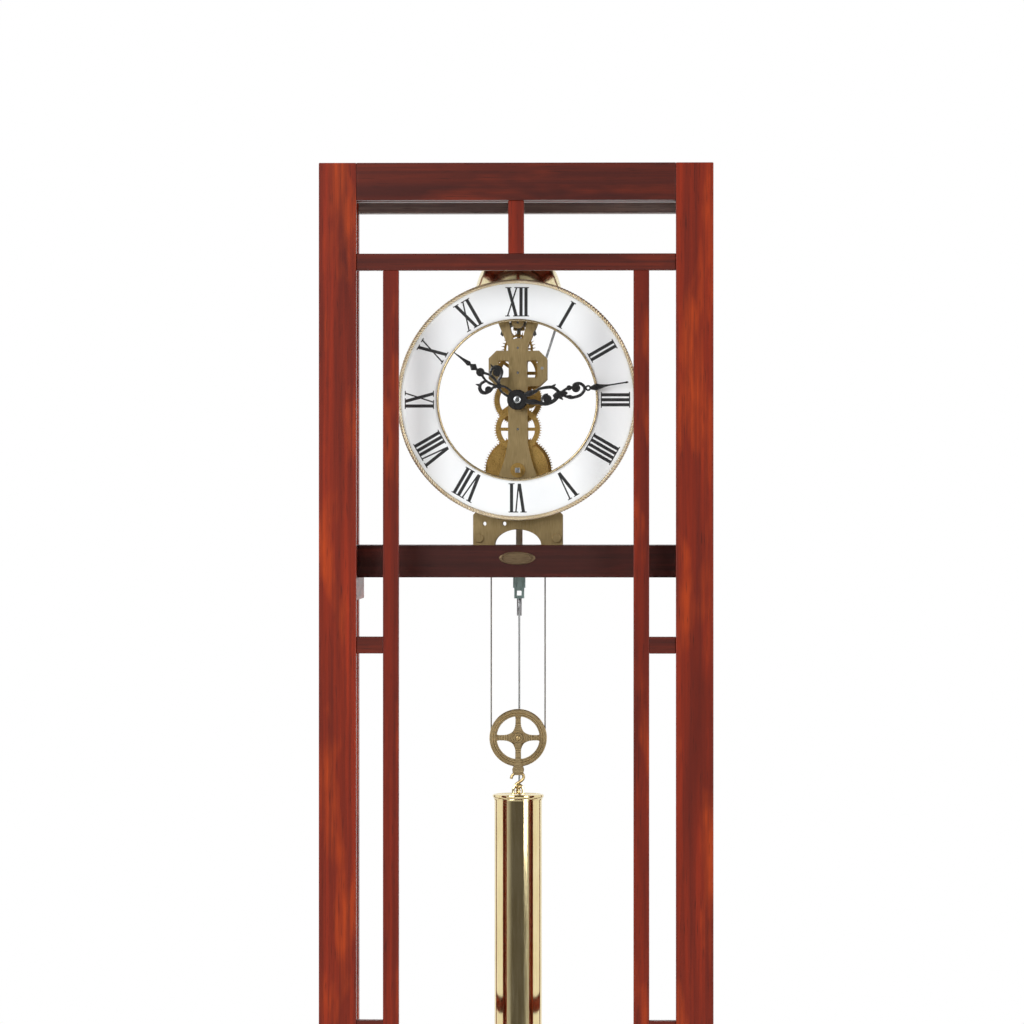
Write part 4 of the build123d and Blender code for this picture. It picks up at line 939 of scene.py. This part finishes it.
def make_strap():
    """Two cheeks on the pulley's pin, the block under it, the hook and the weight's eye."""
    bm = bmesh.new()
    for side in (-1, 1):
        y = side * 5.4
        flat_bar(bm, [(0, y, 4.6, 2.2), (0, y, 3, 4.4), (0, y, 0, 5.5), (0, y, -3, 4.5), (0, y, -6, 3.2),
                      (0, y, -10, 2.8), (0, y, -22, 2.9), (0, y, -26.5, 3.4), (0, y, -29.5, 5.0),
                      (0, y, -32.6, 6.0), (0, y, -35.6, 5.6), (0, y, -37.4, 4.4), (0, y, -38.4, 3.0)], 1.5)
    flat_bar(bm, [(0, 0, -30.4, 3.4), (0, 0, -32.6, 4.8), (0, 0, -35.6, 4.8), (0, 0, -37.8, 3.0)], 9.4)
    put("pulley_cheeks", bm, "weight", PULLEY_BRASS, "pulley_strap")
    bm = bmesh.new()
    pin = [(0, 7.2), (1.6, 7.0), (2.6, 6.3), (2.8, 5.9), (2.8, -5.9), (2.6, -6.3), (1.6, -7.0), (0, -7.2)]
    turn(bm, [(r * MM, y * MM) for r, y in pin], PULLEY, FACING, 32)
    wire(bm, [(-7.2, 0, 15.6), (-6.4, 0, 18.4), (-3.4, 0, 21.4), (1.2, 0, 22.2), (4.8, 0, 20.2),
              (5.6, 0, 16.8), (3.6, 0, 13.8), (0.4, 0, 11.8), (-2.2, 0, 9.6), (-2.0, 0, 7.2),
              (0.4, 0, 6.4), (2.6, 0, 8.0)], 1.6)
    put("weight_hook", bm, "weight", PLATE_BRASS)
    bm = bmesh.new()
    wire(bm, [(-5.2, 0, -0.5), (-5.1, 0, 3.4), (-4.4, 0, 6.6), (-2.4, 0, 8.9), (0, 0, 9.6),
              (2.4, 0, 8.9), (4.4, 0, 6.6), (5.1, 0, 3.4), (5.2, 0, -0.5)], 1.6)
    knob = [(3.4, 0), (3.4, 1.0), (2.2, 1.5), (2.2, 2.3), (2.9, 2.8), (2.9, 3.7), (2.2, 4.2), (2.2, 5.0),
            (1.5, 5.6), (0, 5.8)]
    turn(bm, [(r * MM, z * MM) for r, z in knob], Vector((0, PULLEY.y, WEIGHT_TOP)), (0, 0, 1), 32)
    put("weight_eye", bm, "weight", POLISHED_BRASS)


def make_weight():
    """A polished tube between two spun caps."""
    low, high = corners("weight_caps")
    tube_low, tube_high = corners("weight_shell")
    spot = Vector((PULLEY.x, CABLE_Y, 0))
    radius = (tube_high.x - tube_low.x) / 2
    bm = bmesh.new()
    turn(bm, [(radius, tube_low.z), (radius, tube_high.z)], spot, (0, 0, 1), 128)
    for z in (tube_low.z, tube_high.z):
        bmesh.ops.contextual_create(bm, geom=[e for e in bm.edges if e.is_boundary
                                              and all(abs(v.co.z - z) < 1e-6 for v in e.verts)])
    bmesh.ops.recalc_face_normals(bm, faces=bm.faces)
    put("weight_tube", bm, "weight", POLISHED_BRASS, "weight_shell")
    cap = [(0, -0.8), (22.6, -0.8), (23.8, 0), (25.2, -0.1), (26.2, -0.8), (26.5, -2.0), (26.2, -3.1),
           (25.4, -3.8), (24.9, -4.5), (25.1, -5.5), (24.9, -6.0), (0, -6.0)]
    bm = bmesh.new()
    turn(bm, [(r * MM, high.z + z * MM) for r, z in cap], spot, (0, 0, 1), 128)
    turn(bm, [(r * MM, low.z - z * MM) for r, z in cap], spot, (0, 0, 1), 128)
    put("weight_spun_caps", bm, "weight", POLISHED_BRASS, "weight_caps")


def cable_points():
    """The cable's route: down off the drum, round under the pulley and up to the seat board."""
    lead = 9 * MM
    points = [(REACH, DRUM_Z), (REACH, 1.376), (REACH, 1.343), (REACH, 1.260), (REACH, PULLEY.z + lead)]
    corners_round = 12
    for i in range(corners_round):
        angle = -pi * (i + 0.5) / corners_round
        out = REACH / cos(pi / 2 / corners_round)
        points.append((out * cos(angle), PULLEY.z + out * sin(angle)))
    points += [(-REACH, PULLEY.z + lead), (-REACH, 1.260), (-REACH, CABLE_END)]
    return [Vector((x, CABLE_Y, z)) for x, z in points]


def make_cable():
    """A six-strand steel cable along one smooth line, held by the drum and the seat board."""
    data = bpy.data.curves.new("cable_line", "CURVE")
    data.dimensions = "3D"
    data.resolution_u = 24
    spline = data.splines.new("NURBS")
    points = cable_points()
    spline.points.add(len(points) - 1)
    for point, co in zip(spline.points, points):
        point.co = (*co, 1)
    spline.order_u = 3
    spline.use_endpoint_u = True
    line = bpy.data.objects.new("cable_line", data)
    bpy.context.scene.collection.objects.link(line)
    bpy.context.view_layer.update()
    read = bpy.data.meshes.new_from_object(line.evaluated_get(bpy.context.evaluated_depsgraph_get()))
    route = even_points([v.co.copy() for v in read.vertices], 1.0 * MM)
    bpy.data.objects.remove(line)
    bpy.data.meshes.remove(read)
    length = sum((b - a).length for a, b in zip(route, route[1:]))
    bm = bmesh.new()
    rope(bm, route, FACING, CABLE_RADIUS, CABLE_STRANDS, length / STRAND_LAY, sides=STRAND_SIDES)
    cable = put("weight_cable_strands", bm, "case", CABLE_STEEL, "weight_cable")
    cable.parent = None
    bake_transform(cable)


def even_points(points, gap):
    """Points at equal steps along a polyline."""
    total = sum((b - a).length for a, b in zip(points, points[1:]))
    count = round(total / gap)
    result, done, index = [points[0]], 0.0, 0
    for i in range(1, count):
        want = total * i / count
        while done + (points[index + 1] - points[index]).length < want:
            done += (points[index + 1] - points[index]).length
            index += 1
        step = points[index + 1] - points[index]
        result.append(points[index] + step * ((want - done) / step.length))
    return result + [points[-1]]


DRUM_TURNS = 5
POINTS_PER_TURN = 48
LAYS_PER_TURN = 19


def make_drum_wraps():
    """Five turns of the cable on the drum, the last one leaving it at the right."""
    low = corners("drum_cable")[0]
    count = DRUM_TURNS * POINTS_PER_TURN
    start, end = low.y + CABLE_RADIUS, CABLE_Y
    route = []
    for i in range(count + 1):
        angle = FULL_TURN * DRUM_TURNS * (i / count - 1)
        route.append(Vector((REACH * cos(angle), start + (end - start) * i / count,
                             DRUM_Z + REACH * sin(angle))))
    bm = bmesh.new()
    rope(bm, route, FACING, CABLE_RADIUS, CABLE_STRANDS, DRUM_TURNS * LAYS_PER_TURN, sides=STRAND_SIDES)
    put("drum_cable_wraps", bm, "drum", CABLE_STEEL, "drum_cable")


# ------------------------------------------------------------------ build

make_camera()
make_world()
soft_box("key", place=(-1.9, -3.4, 2.6), target=LIT_POINT, size=(1.6, 2.2), power=85)
soft_box("fill", place=(2.3, -3.0, 1.9), target=LIT_POINT, size=(1.2, 2.2), power=50)
make_floor()
bpy.context.scene.view_settings.view_transform = "Standard"

make_timber()
make_glass()
make_ironwork()
make_badge()
make_dial()
make_bezels()
make_numerals()
make_hour_hand()
make_minute_hand()
make_hand_nut()
make_movement()
make_bell()
make_pendulum()
make_pulley()
make_strap()
make_weight()
make_cable()
make_drum_wraps()
